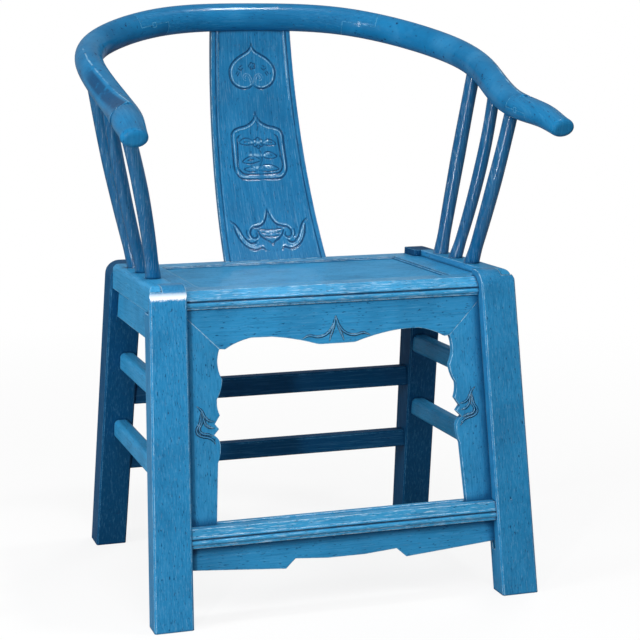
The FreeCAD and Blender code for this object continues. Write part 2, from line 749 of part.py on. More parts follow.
def make_seat(front_blank, back_blank):
    """The seat frame, its floating panel and the two battens."""
    front_legs = (front_blank, other_side("leg_front_blank_left", front_blank))
    back_legs = (back_blank, other_side("leg_back_blank_left", back_blank))
    sides = {"left": "-1", "right": "1"}

    moulding = moulded_front(
        "-front_rail_reach", "seat_height", "seat_frame_thickness", "(front_rail_reach - front_rail_inner)"
    )
    front_bar = from_side("seat_front_bar", moulding, "-side_rail_inner", "2 * side_rail_inner")
    front_between = cut("seat_front_between", front_bar, *front_legs)
    front_whole = fuse("seat_front_whole", front_between, seat_front_tenon("seat_front_tenon", "0"))
    front_rail = cut(
        "seat_front_rail", front_whole, panel_groove("seat_front_groove", "joint_gap"),
        bead_hollow("seat_front_bead"),
        apron_tongue("seat_front_apron_groove", "joint_gap"),
        *[side_frame_tenon(f"seat_front_mortise_{name}", side, "joint_gap") for name, side in sides.items()],
        *[batten_tenon(f"seat_front_batten_{name}", side, "joint_gap") for name, side in sides.items()]
    )

    back_corners = [
        (f"-{back_inner(SEAT_UNDERSIDE)}", SEAT_UNDERSIDE),
        (back_inner(SEAT_UNDERSIDE), SEAT_UNDERSIDE),
        (back_inner("seat_height"), "seat_height"),
        (f"-{back_inner('seat_height')}", "seat_height"),
    ]
    back_bar = from_front(
        "seat_back_bar", back_corners, "back_rail_front", f"{BACK_RAIL_REAR} - back_rail_front"
    )
    round_corner(back_bar, "leg_ease", y=BACK_RAIL_REAR, z="seat_height")
    back_whole = fuse("seat_back_whole", back_bar, seat_back_tenon("seat_back_tenon", "0"))
    back_rail = cut(
        "seat_back_rail", back_whole, panel_groove("seat_back_groove", "joint_gap"),
        bead_hollow("seat_back_bead"),
        splat_foot_tenon("seat_back_splat_mortise", "joint_gap"),
        *[side_frame_tenon(f"seat_back_mortise_{name}", side, "joint_gap") for name, side in sides.items()],
        *[batten_tenon(f"seat_back_batten_{name}", side, "joint_gap") for name, side in sides.items()]
    )

    member = block(
        "seat_side_bar", "panel_half_width", "side_rail_inner", "-front_rail_inner", "back_rail_front",
        SEAT_UNDERSIDE, "seat_height"
    )
    member_fitted = cut("seat_side_fitted", member, back_legs[0])
    member_whole = fuse("seat_side_whole", member_fitted, side_frame_tenon("seat_side_tenon", "1", "0"))
    right = cut(
        "seat_side_right", member_whole, panel_groove("seat_side_groove", "joint_gap"),
        bead_hollow("seat_side_bead")
    )
    pieces = [front_rail, back_rail, right, other_side("seat_side_left", right)]

    field = block(
        "seat_panel_field", "-panel_half_width + joint_gap", "panel_half_width - joint_gap",
        "-front_rail_inner + joint_gap", "back_rail_front - joint_gap", PANEL_UNDERSIDE, PANEL_TOP
    )
    panel_whole = fuse("seat_panel_whole", field, panel_groove("seat_panel_tongue", "0"))
    housings = [
        batten_dovetail(f"seat_panel_dovetail_{name}", side, "joint_gap") for name, side in sides.items()
    ]
    pieces.append(cut("seat_panel", panel_whole, *housings))

    for name, side in sides.items():
        bar = block(
            f"seat_batten_bar_{name}", f"{side} * batten_place - batten_width / 2",
            f"{side} * batten_place + batten_width / 2",
            "-front_rail_inner", "back_rail_front", f"{PANEL_UNDERSIDE} - batten_height", PANEL_UNDERSIDE
        )
        pieces.append(
            fuse(
                f"seat_batten_{name}", bar, batten_tenon(f"seat_batten_tenon_{name}", side, "0"),
                batten_dovetail(f"seat_batten_dovetail_{name}", side, "0")
            )
        )
    return pieces


def make_side_rails(front_shoulder, post_tenons):
    """The raised rails on both sides of the seat, with their lapped and rounded front ends."""
    corners = [
        (front_leg_rear(SIDE_RAIL_UNDERSIDE), SIDE_RAIL_UNDERSIDE),
        (back_leg_front(SIDE_RAIL_UNDERSIDE), SIDE_RAIL_UNDERSIDE),
        (back_leg_front("leg_height"), "leg_height"),
        (front_leg_rear("leg_height"), "leg_height"),
    ]
    bar = from_side("side_rail_bar", corners, "side_rail_inner", "side_rail_width")
    lap_tail = lap_outline("0", SIDE_RAIL_UNDERSIDE, "leg_height")
    lap = from_side("side_rail_lap", lap_tail, f"{SIDE_RAIL_OUTER} - lap_thickness", "lap_thickness")
    whole = fuse("side_rail_whole", bar, lap, side_rail_tenon("side_rail_tenon", "0"))
    eased = common(
        "side_rail_eased", whole,
        from_front(
            "side_rail_section",
            [
                ("side_rail_inner", SIDE_RAIL_UNDERSIDE),
                (SIDE_RAIL_OUTER, SIDE_RAIL_UNDERSIDE),
                (SIDE_RAIL_OUTER, "leg_height - side_rail_round", f"side_rail_round * {ARC_BULGE_SHARE}"),
                (f"{SIDE_RAIL_OUTER} - side_rail_round", "leg_height"),
                ("side_rail_inner", "leg_height"),
            ],
            "-front_reach_foot", "front_reach_foot + back_reach_foot"
        ),
        front_shoulder,
    )
    right = cut("side_rail_right", eased, *post_tenons)
    return [right, other_side("side_rail_left", right)]


# Cusped outline of the side brackets, from the mitre down: shares of the bracket's step
# and of the opening's height, then the bulge of the arc that follows as a share of the step.
BRACKET_SHARES = (
    (0.0, 1.0, -0.3),
    (-0.125, 0.825, 0.12),
    (0.4375, 0.716, -0.1),
    (0.25, 0.623, None),
    (0.75, 0.575, None),
    (0.375, 0.545, None),
    (0.875, 0.511, 0.15),
    (0.3125, 0.451, 0.1),
    (0.625, 0.351, None),
    (1.0, 0.0, None),
)
# Underside of the apron, from the mitre to the middle: shares of the opening's half-width
# and of the apron's depth, then the bulge as a share of that depth.
APRON_SHARES = (
    (1.0, 0.97, None),
    (0.953, 0.985, 0.035),
    (0.726, 0.742, None),
    (0.558, 0.75, 0.03),
    (0.174, 0.985, None),
    (0.147, 1.0, None),
)


def opening_corner():
    return "opening_half_width", "opening_top"


def make_front_apron():
    """The cusped apron under the seat and its two mitred side brackets, let into grooves."""
    edge = apron_edge(SEAT_UNDERSIDE)
    rise = f"(opening_top + {edge} - opening_half_width)"
    lower = []
    for x_share, z_share, bulge in APRON_SHARES:
        place = (f"opening_half_width * {x_share}", f"{SEAT_UNDERSIDE} - apron_depth * {z_share}")
        lower.append(place if bulge is None else (*place, f"apron_depth * {bulge}"))
    lower[0] = opening_corner()
    right_half = [(edge, rise), *lower]
    left_half = []
    for index in range(len(lower) - 1, -1, -1):
        x, z = lower[index][:2]
        before = lower[index - 1] if index > 0 else ()
        left_half.append((f"-({x})", z, before[2]) if len(before) == 3 else (f"-({x})", z))
    top_edge = apron_edge(APRON_TOP)
    corners = [
        *right_half, *left_half, (f"-{edge}", rise), (f"-{top_edge}", APRON_TOP), (top_edge, APRON_TOP)
    ]
    reach = ("-front_reach_foot - overrun", "front_reach_foot + overrun")
    outline = from_front("front_apron_outline", corners, *reach)
    slab = leaning_slab(
        "front_apron_slab", apron_face, "foot_rail_top - overrun", "leg_height", "0", "foot_half_width"
    )
    apron = common("front_apron", outline, slab)

    low = "(foot_rail_top - groove_depth)"
    inner = []
    for x_share, z_share, bulge in BRACKET_SHARES:
        place = (
            f"opening_half_width + bracket_step * {x_share}",
            f"foot_rail_top + (opening_top - foot_rail_top) * {z_share}",
        )
        inner.append(place if bulge is None else (*place, f"bracket_step * {bulge}"))
    foot_x = "opening_half_width + bracket_step"
    corners = [*inner, (foot_x, low), (apron_edge(low), low), (edge, rise)]
    outline = from_front("bracket_outline", corners, *reach)
    slab = leaning_slab(
        "bracket_slab", apron_face, "foot_rail_top - overrun", "leg_height", "0", "foot_half_width"
    )
    right = common("apron_bracket_right", outline, slab)
    return [apron, right, other_side("apron_bracket_left", right)]


def make_side_aprons():
    """A plain apron board under each side rail, let into the legs."""
    region = side_apron_region("side_apron_reach", SIDE_APRON_LOW, SIDE_RAIL_UNDERSIDE, "groove_depth")
    slab = side_apron_slab("side_apron_board", SIDE_APRON_LOW, SIDE_RAIL_UNDERSIDE, "0")
    right = common("side_apron_right", region, slab)
    return [right, other_side("side_apron_left", right)]


def foot_apron_corners():
    """Front view of the board under the foot rail, which steps up in the middle."""
    side = f"({FOOT_RAIL_UNDERSIDE} - foot_apron_depth)"
    right = [
        (apron_edge(side), side),
        ("foot_apron_notch", f"{FOOT_APRON_LOW} + foot_apron_drop * notch_edge_share"),
        ("foot_apron_notch * notch_inner_share", f"{side} + foot_apron_drop * notch_rise_share"),
        ("foot_apron_notch * notch_middle_share", f"{side} - foot_apron_drop * notch_sag_share"),
    ]
    left = [(f"-({x})", z) for x, z in reversed(right)]
    top = f"({FOOT_RAIL_UNDERSIDE} + groove_depth)"
    return [*right, *left, (f"-{apron_edge(top)}", top), (apron_edge(top), top)]


def make_foot_rail():
    """The moulded foot rail between the front legs and the apron under it."""
    moulding = moulded_front(FOOT_RAIL_FRONT, "foot_rail_top", "foot_rail_height", "foot_rail_depth")
    moulding[0] = (f"{FOOT_RAIL_FRONT} + quirk", "foot_rail_top")
    bar = from_side("foot_rail_bar", moulding, "-foot_half_width", "2 * foot_half_width")
    between = from_front(
        "foot_rail_between",
        [
            (f"-{front_inner(FOOT_RAIL_UNDERSIDE)}", FOOT_RAIL_UNDERSIDE),
            (front_inner(FOOT_RAIL_UNDERSIDE), FOOT_RAIL_UNDERSIDE),
            (front_inner("foot_rail_top"), "foot_rail_top"),
            (f"-{front_inner('foot_rail_top')}", "foot_rail_top"),
        ],
        "-front_reach_foot", "front_reach_foot"
    )
    fitted = common("foot_rail_fitted", bar, between)
    whole = fuse("foot_rail_whole", fitted, foot_rail_tenon("foot_rail_tenon", "0"))
    low_groove = leaning_slab(
        "foot_rail_low_groove", apron_face, f"{FOOT_RAIL_UNDERSIDE} - overrun",
        f"{FOOT_RAIL_UNDERSIDE} + groove_depth + joint_gap", "joint_gap", front_inner(FOOT_RAIL_UNDERSIDE)
    )
    rail = cut("foot_rail", whole, apron_tongue("foot_rail_top_groove", "joint_gap"), low_groove)

    outline = from_front(
        "foot_apron_outline", foot_apron_corners(),
        "-front_reach_foot - overrun", "front_reach_foot + overrun"
    )
    slab = leaning_slab("foot_apron_slab", apron_face, "0", "leg_height", "0", "foot_half_width")
    return [rail, common("foot_apron", outline, slab)]


def make_stretchers():
    """Two rounded stretchers on each side and two plain ones at the back."""
    pieces = []
    for name, (height, place) in SIDE_STRETCHERS.items():
        top = f"({height} + stretcher_height)"
        sides = (f"{place} - stretcher_width / 2", f"{place} + stretcher_width / 2")
        section = from_front(
            f"side_stretcher_section_{name}", rounded_rectangle(*sides, height, top, "stretcher_round"),
            "-front_reach_foot", "front_reach_foot + back_reach_foot"
        )
        between = from_side(
            f"side_stretcher_between_{name}",
            [
                (front_leg_rear(height), height),
                (back_leg_front(height), height),
                (back_leg_front(top), top),
                (front_leg_rear(top), top),
            ],
            "0", SIDE_REACH
        )
        bar = common(f"side_stretcher_bar_{name}", section, between)
        tenon = stretcher_tenon(f"side_stretcher_tenon_{name}", height, place, "0")
        right = fuse(f"side_stretcher_{name}_right", bar, tenon)
        pieces += [right, other_side(f"side_stretcher_{name}_left", right)]
    for name, (height, thickness) in BACK_STRETCHERS.items():
        top = f"({height} + {thickness})"
        front = back_stretcher_front(height)
        section = from_side(
            f"back_stretcher_section_{name}",
            eased_rectangle(front, f"{front} + back_stretcher_depth", height, top, "back_stretcher_ease"),
            "-foot_half_width", "2 * foot_half_width"
        )
        between = from_front(
            f"back_stretcher_between_{name}",
            [
                (f"-{back_inner(height)}", height),
                (back_inner(height), height),
                (back_inner(top), top),
                (f"-{back_inner(top)}", top),
            ],
            "0", "back_reach_foot"
        )
        bar = common(f"back_stretcher_bar_{name}", section, between)
        tenon = back_stretcher_tenon(f"back_stretcher_tenon_{name}", height, thickness, "0")
        pieces.append(fuse(f"back_stretcher_{name}", bar, tenon))
    return pieces


# Centre line of the crest rail from the middle of the back to the tip of an arm:
# shares of its half-width, of its depth from tip to back and of its rise from tip to top.
CREST_SHARES = (
    (0.0, 1.0, 1.0),
    (0.51, 0.955, 0.95),
    (0.892, 0.792, 0.74),
    (0.994, 0.552, 0.503),
    (0.961, 0.281, 0.199),
    (0.983, 0.111, 0.1),
    (1.0, 0.0, 0.0),
)
# Half-width and half-height of its section as shares of the crest's radius, at shares of its length.
CREST_SECTION_SHARES = (
    (0.0, 1.0, 1.0),
    (0.35, 0.98, 1.0),
    (0.6, 0.92, 0.97),
    (0.76, 1.0, 0.88),
    (0.87, 1.02, 0.82),
    (1.0, 0.86, 0.62),
)
SECTION_STEPS = 12
CREST_STATIONS = 15


def crest_points(reach):
    """The points that the crest's centre line runs through, from the middle of the back to the right tip."""
    half, back = number("crest_half_width"), number("crest_back")
    tip, rise = number("crest_tip"), number("crest_top - crest_tip")
    return [
        FreeCAD.Vector(half * x_share, (back + reach) * depth_share - reach, tip + rise * rise_share)
        for x_share, depth_share, rise_share in CREST_SHARES
    ]


def crest_curve(reach):
    """One smooth curve from the left tip round the back to the right tip."""
    right = crest_points(reach)
    left = [FreeCAD.Vector(-point.x, point.y, point.z) for point in right[:0:-1]]
    curve = Part.BSplineCurve()
    curve.interpolate(left + right)
    return curve, curve.parameter(right[0])


def crest_frame(curve, middle, share, side=1):
    """Point, forward, sideways and upward directions at a share of the way along one arm."""
    end = curve.LastParameter if side > 0 else curve.FirstParameter
    parameter = middle + (end - middle) * share
    forward = curve.tangent(parameter)[0] * side
    sideways = forward.cross(FreeCAD.Vector(0, 0, 1)).normalize()
    return curve.value(parameter), forward, sideways, sideways.cross(forward).normalize()


def section_size(share):
    """Half-width and half-height of the crest at a share of one arm."""
    radius = number("crest_radius")
    steps = zip(CREST_SECTION_SHARES, CREST_SECTION_SHARES[1:])
    for (start, wide, high), (stop, next_wide, next_high) in steps:
        if share <= stop:
            blend = (share - start) / (stop - start)
            return radius * (wide + (next_wide - wide) * blend), radius * (high + (next_high - high) * blend)
    return radius * CREST_SECTION_SHARES[-1][1], radius * CREST_SECTION_SHARES[-1][2]


def crest_wire(curve, middle, share, side):
    """The oval section across the crest at a share of one arm."""
    point, forward, sideways, upward = crest_frame(curve, middle, share, side)
    half_width, half_height = section_size(share)
    points = []
    for step in range(SECTION_STEPS):
        angle = math.pi / 4 + 2 * math.pi * step / SECTION_STEPS
        across = sideways * (half_width * side * math.cos(angle))
        points.append(point + across + upward * (half_height * math.sin(angle)))
    outline = Part.BSplineCurve()
    outline.interpolate(points, PeriodicFlag=True)
    return Part.Wire(outline.toShape())


def crest_loft(reach):
    """The whole crest rail before it is parted, with its tips rounded off."""
    curve, middle = crest_curve(reach)
    shares = [index / CREST_STATIONS for index in range(CREST_STATIONS, 0, -1)]
    wires = [crest_wire(curve, middle, share, -1) for share in shares]
    wires.append(crest_wire(curve, middle, 0, 1))
    wires += [crest_wire(curve, middle, share, 1) for share in reversed(shares)]
    solid = Part.makeLoft(wires, True, False)
    tips = [edge for edge in solid.Edges if edge.Closed]
    return curve, middle, solid.makeFillet(number("grip_rounding"), tips)


# The tips reach as far forward as the back of the crest reaches back.
crest_reach = number("crest_front")
crest_reach += crest_loft(crest_reach)[2].optimalBoundingBox(False, False).Center.y * 2
crest_line, crest_middle, crest_shape = crest_loft(crest_reach)
crest_whole = doc.addObject("Part::Feature", "crest_whole")
crest_whole.Shape = crest_shape

# Where the scarf joints lie on the crest's centre line, as shares of one arm.
BACK_SCARF_SHARE = 0.24
ARM_SCARF_SHARE = 0.862
# Where each post meets the centre line of the crest, the sizes that place its foot, its shares of the bow
# outward and backward, and its stoutness as a share of the stated radii.
POST_SHARES = {
    "front": (0.801, "front_post_side", "-front_post_reach", -0.26, -0.98, 0.97),
    "middle": (0.69, "middle_post_side", "-middle_post_reach", 0.37, -0.39, 0.87),
    "rear": (0.566, "rear_post_side", "rear_post_reach", 0.18, 0.6, 1.0),
}
# Radius of a post from its foot to its neck, at shares of the length of its shank.
POST_RADIUS_SHARES = (
    (0.0, "post_foot_radius"),
    (0.04, "(post_foot_radius + post_waist_radius) / 2"),
    (0.12, "post_waist_radius"),
    (0.3, "(post_waist_radius + post_belly_radius) / 2"),
    (0.55, "post_belly_radius"),
    (0.85, "post_neck_radius"),
    (1.0, "post_neck_radius"),
)
POST_STATIONS = 16


def crest_placement(share):
    """A placement on the crest's centre line with X forward, Y to the left of that and Z up."""
    point, forward, sideways, upward = crest_frame(crest_line, crest_middle, share)
    turn = FreeCAD.Rotation(forward, sideways * -1, upward, "ZXY")
    return FreeCAD.Placement(point, turn)


def placed_block(name, placement, low, high):
    """A box between two corners given in a placement of its own."""
    box = doc.addObject("Part::Box", name)
    for side, lower, upper in zip(("Length", "Width", "Height"), low, high):
        box.setExpression(side, bound(f"({upper}) - ({lower})"))
    corner = FreeCAD.Vector(*(number(place) for place in low))
    box.Placement = placement * FreeCAD.Placement(corner, FreeCAD.Rotation())
    return box


def scarf_region(name, share, upper, reach):
    """One arm beyond a scarf joint, with one half of the lap and the little tongue at its end."""
    placement = crest_placement(share)
    half = "scarf_length / 2"
    width = "crest_radius * 2"
    lap = ("0", width) if upper else (f"-{width}", "0")
    tongue = ("crest_radius * tongue_low_share", "crest_radius * tongue_high_share")
    under = ("-crest_radius * tongue_high_share", "-crest_radius * tongue_low_share")
    mine, other = (tongue, under) if upper else (under, tongue)
    beyond = placed_block(
        f"{name}_beyond", placement, (half, f"-{reach}", "-crest_top"), ("crest_top", reach, "crest_top")
    )
    overlap = placed_block(
        f"{name}_overlap", placement, (f"-{half}", f"-{width}", lap[0]), (half, width, lap[1])
    )
    side = "crest_radius * tongue_width_share"
    own = placed_block(
        f"{name}_tongue", placement, (f"-{half} - scarf_tongue", f"-{side}", mine[0]), ("0", side, mine[1])
    )
    housing = placed_block(
        f"{name}_housing", placement, (half, f"-{side}", other[0]), (f"{half} + scarf_tongue", side, other[1])
    )
    return cut(f"{name}_region", fuse(f"{name}_joined", beyond, overlap, own), housing)


def scarf_pin(name, share, play):
    """The square tapered pin driven sideways between the halves of a lap."""
    wedge = doc.addObject("Part::Wedge", name)
    thick, thin = "scarf_pin_width / 2", "scarf_pin_width * scarf_pin_thin_share"
    for prefix, half in (("", thick), ("2", thin)):
        for axis in "XZ":
            wedge.setExpression(f"{axis}{prefix}min", bound(f"-({half}) - {play}"))
            wedge.setExpression(f"{axis}{prefix}max", bound(f"{half} + {play}"))
    wedge.setExpression("Ymin", bound("-crest_radius * scarf_pin_reach_share"))
    wedge.setExpression("Ymax", bound("crest_radius * scarf_pin_reach_share"))
    wedge.Placement = crest_placement(share)
    return wedge


def post_line(side):
    """The bent centre line of a post's shank, and the placements of its straight foot and head."""
    share, place, reach, outward, backward, _ = POST_SHARES[side]
    foot = FreeCAD.Vector(number(place), number(reach), number("leg_height"))
    head = crest_frame(crest_line, crest_middle, share)[0]
    bend = (foot + head) / 2 + FreeCAD.Vector(outward, backward, 0) * number("post_bow * 2")
    up, on = (bend - foot).normalize(), (head - bend).normalize()
    neck = head - on * number("crest_radius + post_collar")
    line = Part.BezierCurve()
    line.setPoles([foot, bend, neck])
    upright = FreeCAD.Vector(0, 0, 1)
    low_end = FreeCAD.Placement(foot, FreeCAD.Rotation(upright, up))
    high_end = FreeCAD.Placement(neck, FreeCAD.Rotation(upright, on))
    return line, low_end, high_end


def rod(name, placement, low, length, radius):
    """A round bar along the axis of a placement."""
    cylinder = doc.addObject("Part::Cylinder", name)
    cylinder.setExpression("Radius", bound(radius))
    cylinder.setExpression("Height", bound(length))
    cylinder.Placement = placement * FreeCAD.Placement(FreeCAD.Vector(0, 0, number(low)), FreeCAD.Rotation())
    return cylinder


def post_radius(share, stoutness):
    """The radius of a post's shank at a share of its length, between the stated ones."""
    for (start, low), (stop, high) in zip(POST_RADIUS_SHARES, POST_RADIUS_SHARES[1:]):
        if share <= stop:
            blend = (share - start) / (stop - start)
            return (number(low) * (1 - blend) + number(high) * blend) * stoutness
    return number(POST_RADIUS_SHARES[-1][1]) * stoutness


def make_posts():
    """The turned and slightly bent posts, and the tools that bore the side rails and the crest for them."""
    pieces, tenon_bores, crest_bores = [], [], []
    for side in POST_SHARES:
        line, foot, neck = post_line(side)
        stoutness = POST_SHARES[side][-1]
        sections = [Part.makeCircle(post_radius(0, stoutness), *below_foot(line))]
        for station in range(POST_STATIONS + 1):
            share = station / POST_STATIONS
            direction = line.tangent(share)[0]
            sections.append(Part.makeCircle(post_radius(share, stoutness), line.value(share), direction))
        shank = doc.addObject("Part::Feature", f"post_shank_{side}")
        shank.Shape = Part.makeLoft([Part.Wire(section) for section in sections], True, False)
        under = block(
            f"post_under_{side}", "0", SIDE_REACH, "-front_reach_foot", "back_reach_foot",
            "leg_height - overrun", "leg_height"
        )
        seated = cut(f"post_seated_{side}", shank, under)
        tenon_length = "post_tenon_depth + post_foot_radius"
        tenon = rod(f"post_tenon_{side}", foot, "-post_tenon_depth", tenon_length, "post_tenon_radius")
        neck_radius = f"post_neck_radius * {stoutness}"
        head = rod(f"post_head_{side}", neck, "0", "post_collar + crest_radius - post_head_gap", neck_radius)
        right = fuse(f"post_{side}_right", seated, tenon, head)
        pieces += [right, other_side(f"post_{side}_left", right)]
        tenon_bores.append(
            rod(
                f"post_mortise_{side}", foot, "-post_tenon_depth - joint_gap * 2",
                "post_tenon_depth + overrun", "post_tenon_radius + joint_gap"
            )
        )
        crest_bores.append(
            rod(
                f"post_socket_{side}", neck, "-crest_radius",
                "post_collar + crest_radius * 2 - post_head_gap + joint_gap * 2", f"{neck_radius} + joint_gap"
            )
        )
    return pieces, tenon_bores, crest_bores


def below_foot(line):
    """A point and direction on a post's line just under its foot, so that the flare is cut off level."""
    direction = line.tangent(0)[0]
    return line.value(0) - direction * number("post_foot_radius / 2"), direction


def make_crest(crest_bores, splat_slot):
    """The five pieces of the crest rail, parted by lapped scarf joints, and the pins that lock them."""
    back_region = scarf_region("back_scarf", BACK_SCARF_SHARE, False, "(crest_back + crest_front)")
    arm_region = scarf_region("arm_scarf", ARM_SCARF_SHARE, True, "crest_half_width")
    pin_holes = [
        scarf_pin("back_pin_hole", BACK_SCARF_SHARE, "0"),
        scarf_pin("arm_pin_hole", ARM_SCARF_SHARE, "0"),
    ]
    left_holes = [other_side(f"{hole.Name}_left", hole) for hole in pin_holes]

    back = cut(
        "crest_back", crest_whole, back_region, other_side("back_scarf_region_left", back_region), splat_slot,
        pin_holes[0], left_holes[0]
    )
    arm = common("crest_arm", crest_whole, back_region)
    side = cut("crest_side_right", arm, arm_region, *pin_holes, *crest_bores)
    end = cut("crest_end_right", common("crest_grip", crest_whole, arm_region), pin_holes[1])
    pins = [common(f"{name}_pin", crest_whole, hole) for name, hole in zip(("back", "arm"), pin_holes)]
    pins += [other_side(f"{pin.Name}_left", pin) for pin in pins]
    wedges = doc.addObject("Part::Compound", "scarf_wedges")
    wedges.Links = pins
    return [
        back, side, other_side("crest_side_left", side), end, other_side("crest_end_left", end), wedges
    ]


def splat_strip(name, front, back, play):
    """A curved sheet between two offsets behind the splat's front face, from the seat to the crest."""
    corners = [
        (f"splat_foot + {front} - {play}", "seat_height", "splat_hollow"),
        (f"splat_head + {front} - {play}", "crest_top"),
        (f"splat_head + {back} + {play}", "crest_top", "-splat_hollow"),
        (f"splat_foot + {back} + {play}", "seat_height"),
    ]
    half = "(splat_half_width_foot + overrun)"
    return from_side(name, corners, f"-{half}", f"2 * {half}")


def splat_outline(name, inset, low, high, play):
    """Front view of the splat, which narrows toward the crest, with its edges moved in by an inset."""
    def half(height):
        slope = f"(({height}) - seat_height) / (crest_top - seat_height)"
        narrowing = "(splat_half_width_top - splat_half_width_foot)"
        return f"(splat_half_width_foot + {narrowing} * {slope} - {inset} + {play})"
    corners = [(f"-{half(low)}", low), (half(low), low), (half(high), high), (f"-{half(high)}", high)]
    return from_front(name, corners, "0", "crest_back * 2")


def splat_foot_tenon(name, play):
    return block(
        name, f"-splat_half_width_foot + splat_tenon - {play}",
        f"splat_half_width_foot - splat_tenon + {play}", f"splat_foot + splat_tenon_shoulder - {play}",
        f"splat_foot + splat_thickness - splat_tenon_shoulder + {play}",
        f"seat_height - splat_tenon - {play}", f"seat_height + {play}"
    )


def splat_body(name, low, high, play):
    """The splat with its two raised borders, or the slot for it with play."""
    field = common(
        f"{name}_field",
        splat_strip(f"{name}_sheet", "0", "splat_thickness", play),
        splat_outline(f"{name}_outline", "0", low, high, play),
    )
    border = common(
        f"{name}_border",
        splat_strip(f"{name}_border_sheet", "(-splat_border_rise)", "splat_thickness / 2", play),
        cut(
            f"{name}_border_outline", splat_outline(f"{name}_border_outer", "0", low, high, play),
            splat_outline(f"{name}_border_inner", "splat_border", low, high, f"(-{play})")
        ),
    )
    return fuse(f"{name}_whole", field, border)


def make_splat():
    """The curved back splat and the slot in the crest's underside that holds its top."""
    top = "(crest_top - splat_tongue)"
    body = splat_body("splat", "seat_height", top, "0")
    slot_foot = "(crest_top - crest_radius * 2 - overrun)"
    slot = splat_body("splat_slot", slot_foot, f"({top} + joint_gap)", "joint_gap")
    return fuse("back_splat", body, splat_foot_tenon("splat_foot_tenon", "0")), slot


splat, splat_slot = make_splat()
front_blank, front_shoulder, front_legs = make_front_leg()
back_blank, back_legs = make_back_leg()
posts, post_mortises, post_sockets = make_posts()
pieces = [
    *front_legs,
    *back_legs,
    *make_seat(front_blank, back_blank),
    *make_side_rails(front_shoulder, post_mortises),
    *make_front_apron(),
    *make_side_aprons(),
    *make_foot_rail(),
    *make_stretchers(),
    *posts,
    *make_crest(post_sockets, splat_slot),
    splat,
]
doc.recompute()

for thing in doc.Objects:
    if "Invalid" in thing.State or "Error" in thing.State:
        raise RuntimeError(f"{thing.Name} could not be built: {thing.State}")
for piece in pieces:
    if piece.Shape.isNull() or not piece.Shape.isValid() or not piece.Shape.Solids:
        raise RuntimeError(f"{piece.Label} has no valid solid")
os.makedirs("parts", exist_ok=True)
for piece in pieces:
    piece.Shape.exportStep(f"parts/{piece.Label}.step")
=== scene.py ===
import math

import bpy
from mathutils import Matrix, Vector
from mathutils.bvhtree import BVHTree
from mathutils.geometry import interpolate_bezier
from mathutils.kdtree import KDTree


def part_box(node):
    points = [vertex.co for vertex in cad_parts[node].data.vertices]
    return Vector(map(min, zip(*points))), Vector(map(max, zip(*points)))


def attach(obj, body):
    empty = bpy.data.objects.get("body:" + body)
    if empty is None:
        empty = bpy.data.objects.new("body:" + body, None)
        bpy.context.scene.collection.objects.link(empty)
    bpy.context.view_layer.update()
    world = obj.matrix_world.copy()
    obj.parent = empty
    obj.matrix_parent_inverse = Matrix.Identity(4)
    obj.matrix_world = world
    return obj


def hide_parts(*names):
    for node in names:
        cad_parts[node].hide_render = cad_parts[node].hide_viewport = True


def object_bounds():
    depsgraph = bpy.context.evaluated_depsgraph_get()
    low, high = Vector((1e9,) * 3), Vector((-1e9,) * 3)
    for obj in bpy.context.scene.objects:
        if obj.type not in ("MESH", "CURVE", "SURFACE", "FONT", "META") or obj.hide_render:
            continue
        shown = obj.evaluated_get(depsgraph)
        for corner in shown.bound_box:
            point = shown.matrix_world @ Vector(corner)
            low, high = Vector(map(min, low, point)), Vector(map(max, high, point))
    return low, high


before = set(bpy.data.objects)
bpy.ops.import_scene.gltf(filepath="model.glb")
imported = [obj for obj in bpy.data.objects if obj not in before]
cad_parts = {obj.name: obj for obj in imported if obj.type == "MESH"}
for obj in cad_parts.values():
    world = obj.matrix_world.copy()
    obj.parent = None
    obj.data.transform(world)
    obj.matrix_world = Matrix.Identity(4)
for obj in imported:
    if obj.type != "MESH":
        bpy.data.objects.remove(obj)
CAD_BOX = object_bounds()

bl_info = {
    "name": "Horseshoe-back armchair",
    "version": (1, 0, 0),
    "blender": (4, 5, 0),
    "location": "View3D > Sidebar > Armchair",
    "description": "Paints, carves and stages a blue lacquered horseshoe-back armchair",
    "category": "Object",
}

MM = 0.001
# The attribute that says how deep a carved piece is cut. Its paint darkens the cuts with dirt and painted
# shade, and pales the beads with wear and a painted highlight; the arms' scoops are marked as cut for their
# painted shade.
DEPTH_ATTRIBUTE = "cut_depth"
PALE_BLUE = "#b4def4"
# The studio's paper, in metres: its width, and how far from the chair its shadow starts and stops to fade.
PAPER_WIDTH = 14
SHADOW_NEAR = 0.5
SHADOW_FAR = 2.6
# The width of the camera's sensor, in millimetres.
SENSOR_WIDTH = 36

# The axes that the grain and the brush strokes of each piece run along: several where the piece curves.
GRAINS = (
    (("leg_", "apron_bracket"), "Z"),
    (("crest_side",), "XYZ"),
    (("post_", "back_splat", "crest_end"), "YZ"),
    (("seat_front", "seat_back", "seat_panel", "front_apron", "foot_", "back_stretcher", "crest_back"), "X"),
    (("",), "Y"),
)

# Where dirt gathers and painted shade falls: the reach of a corner, and the share of open sky where the
# darkening starts and where it is full. The wide reach is painted shade beside the recessed aprons.
CLOSE_DIRT_AND_SHADE = (6 * MM, 0.85, 0.45)
WIDE_PAINTED_SHADE = (18 * MM, 0.94, 0.6)

# The marks in the paint: how long they are along the grain and how wide across it, or how far apart they lie.
SCUFF_SIZE = (24 * MM, 1.6 * MM)
PORE_SIZE = (8 * MM, 1.8 * MM)
BARE_GRAIN_SIZE = (90 * MM, 3 * MM)
PATCH_SIZE = 70 * MM
CHIP_SIZE = 12 * MM
RAGGED_SIZE = 3 * MM

# The painted highlight on the left front leg's shoulder, a pale band: how far its middle lies below the top,
# and where it ends and is full.
SHOULDER_DROP = 14 * MM
SHOULDER_EDGE = 14 * MM
SHOULDER_FULL = 1 * MM
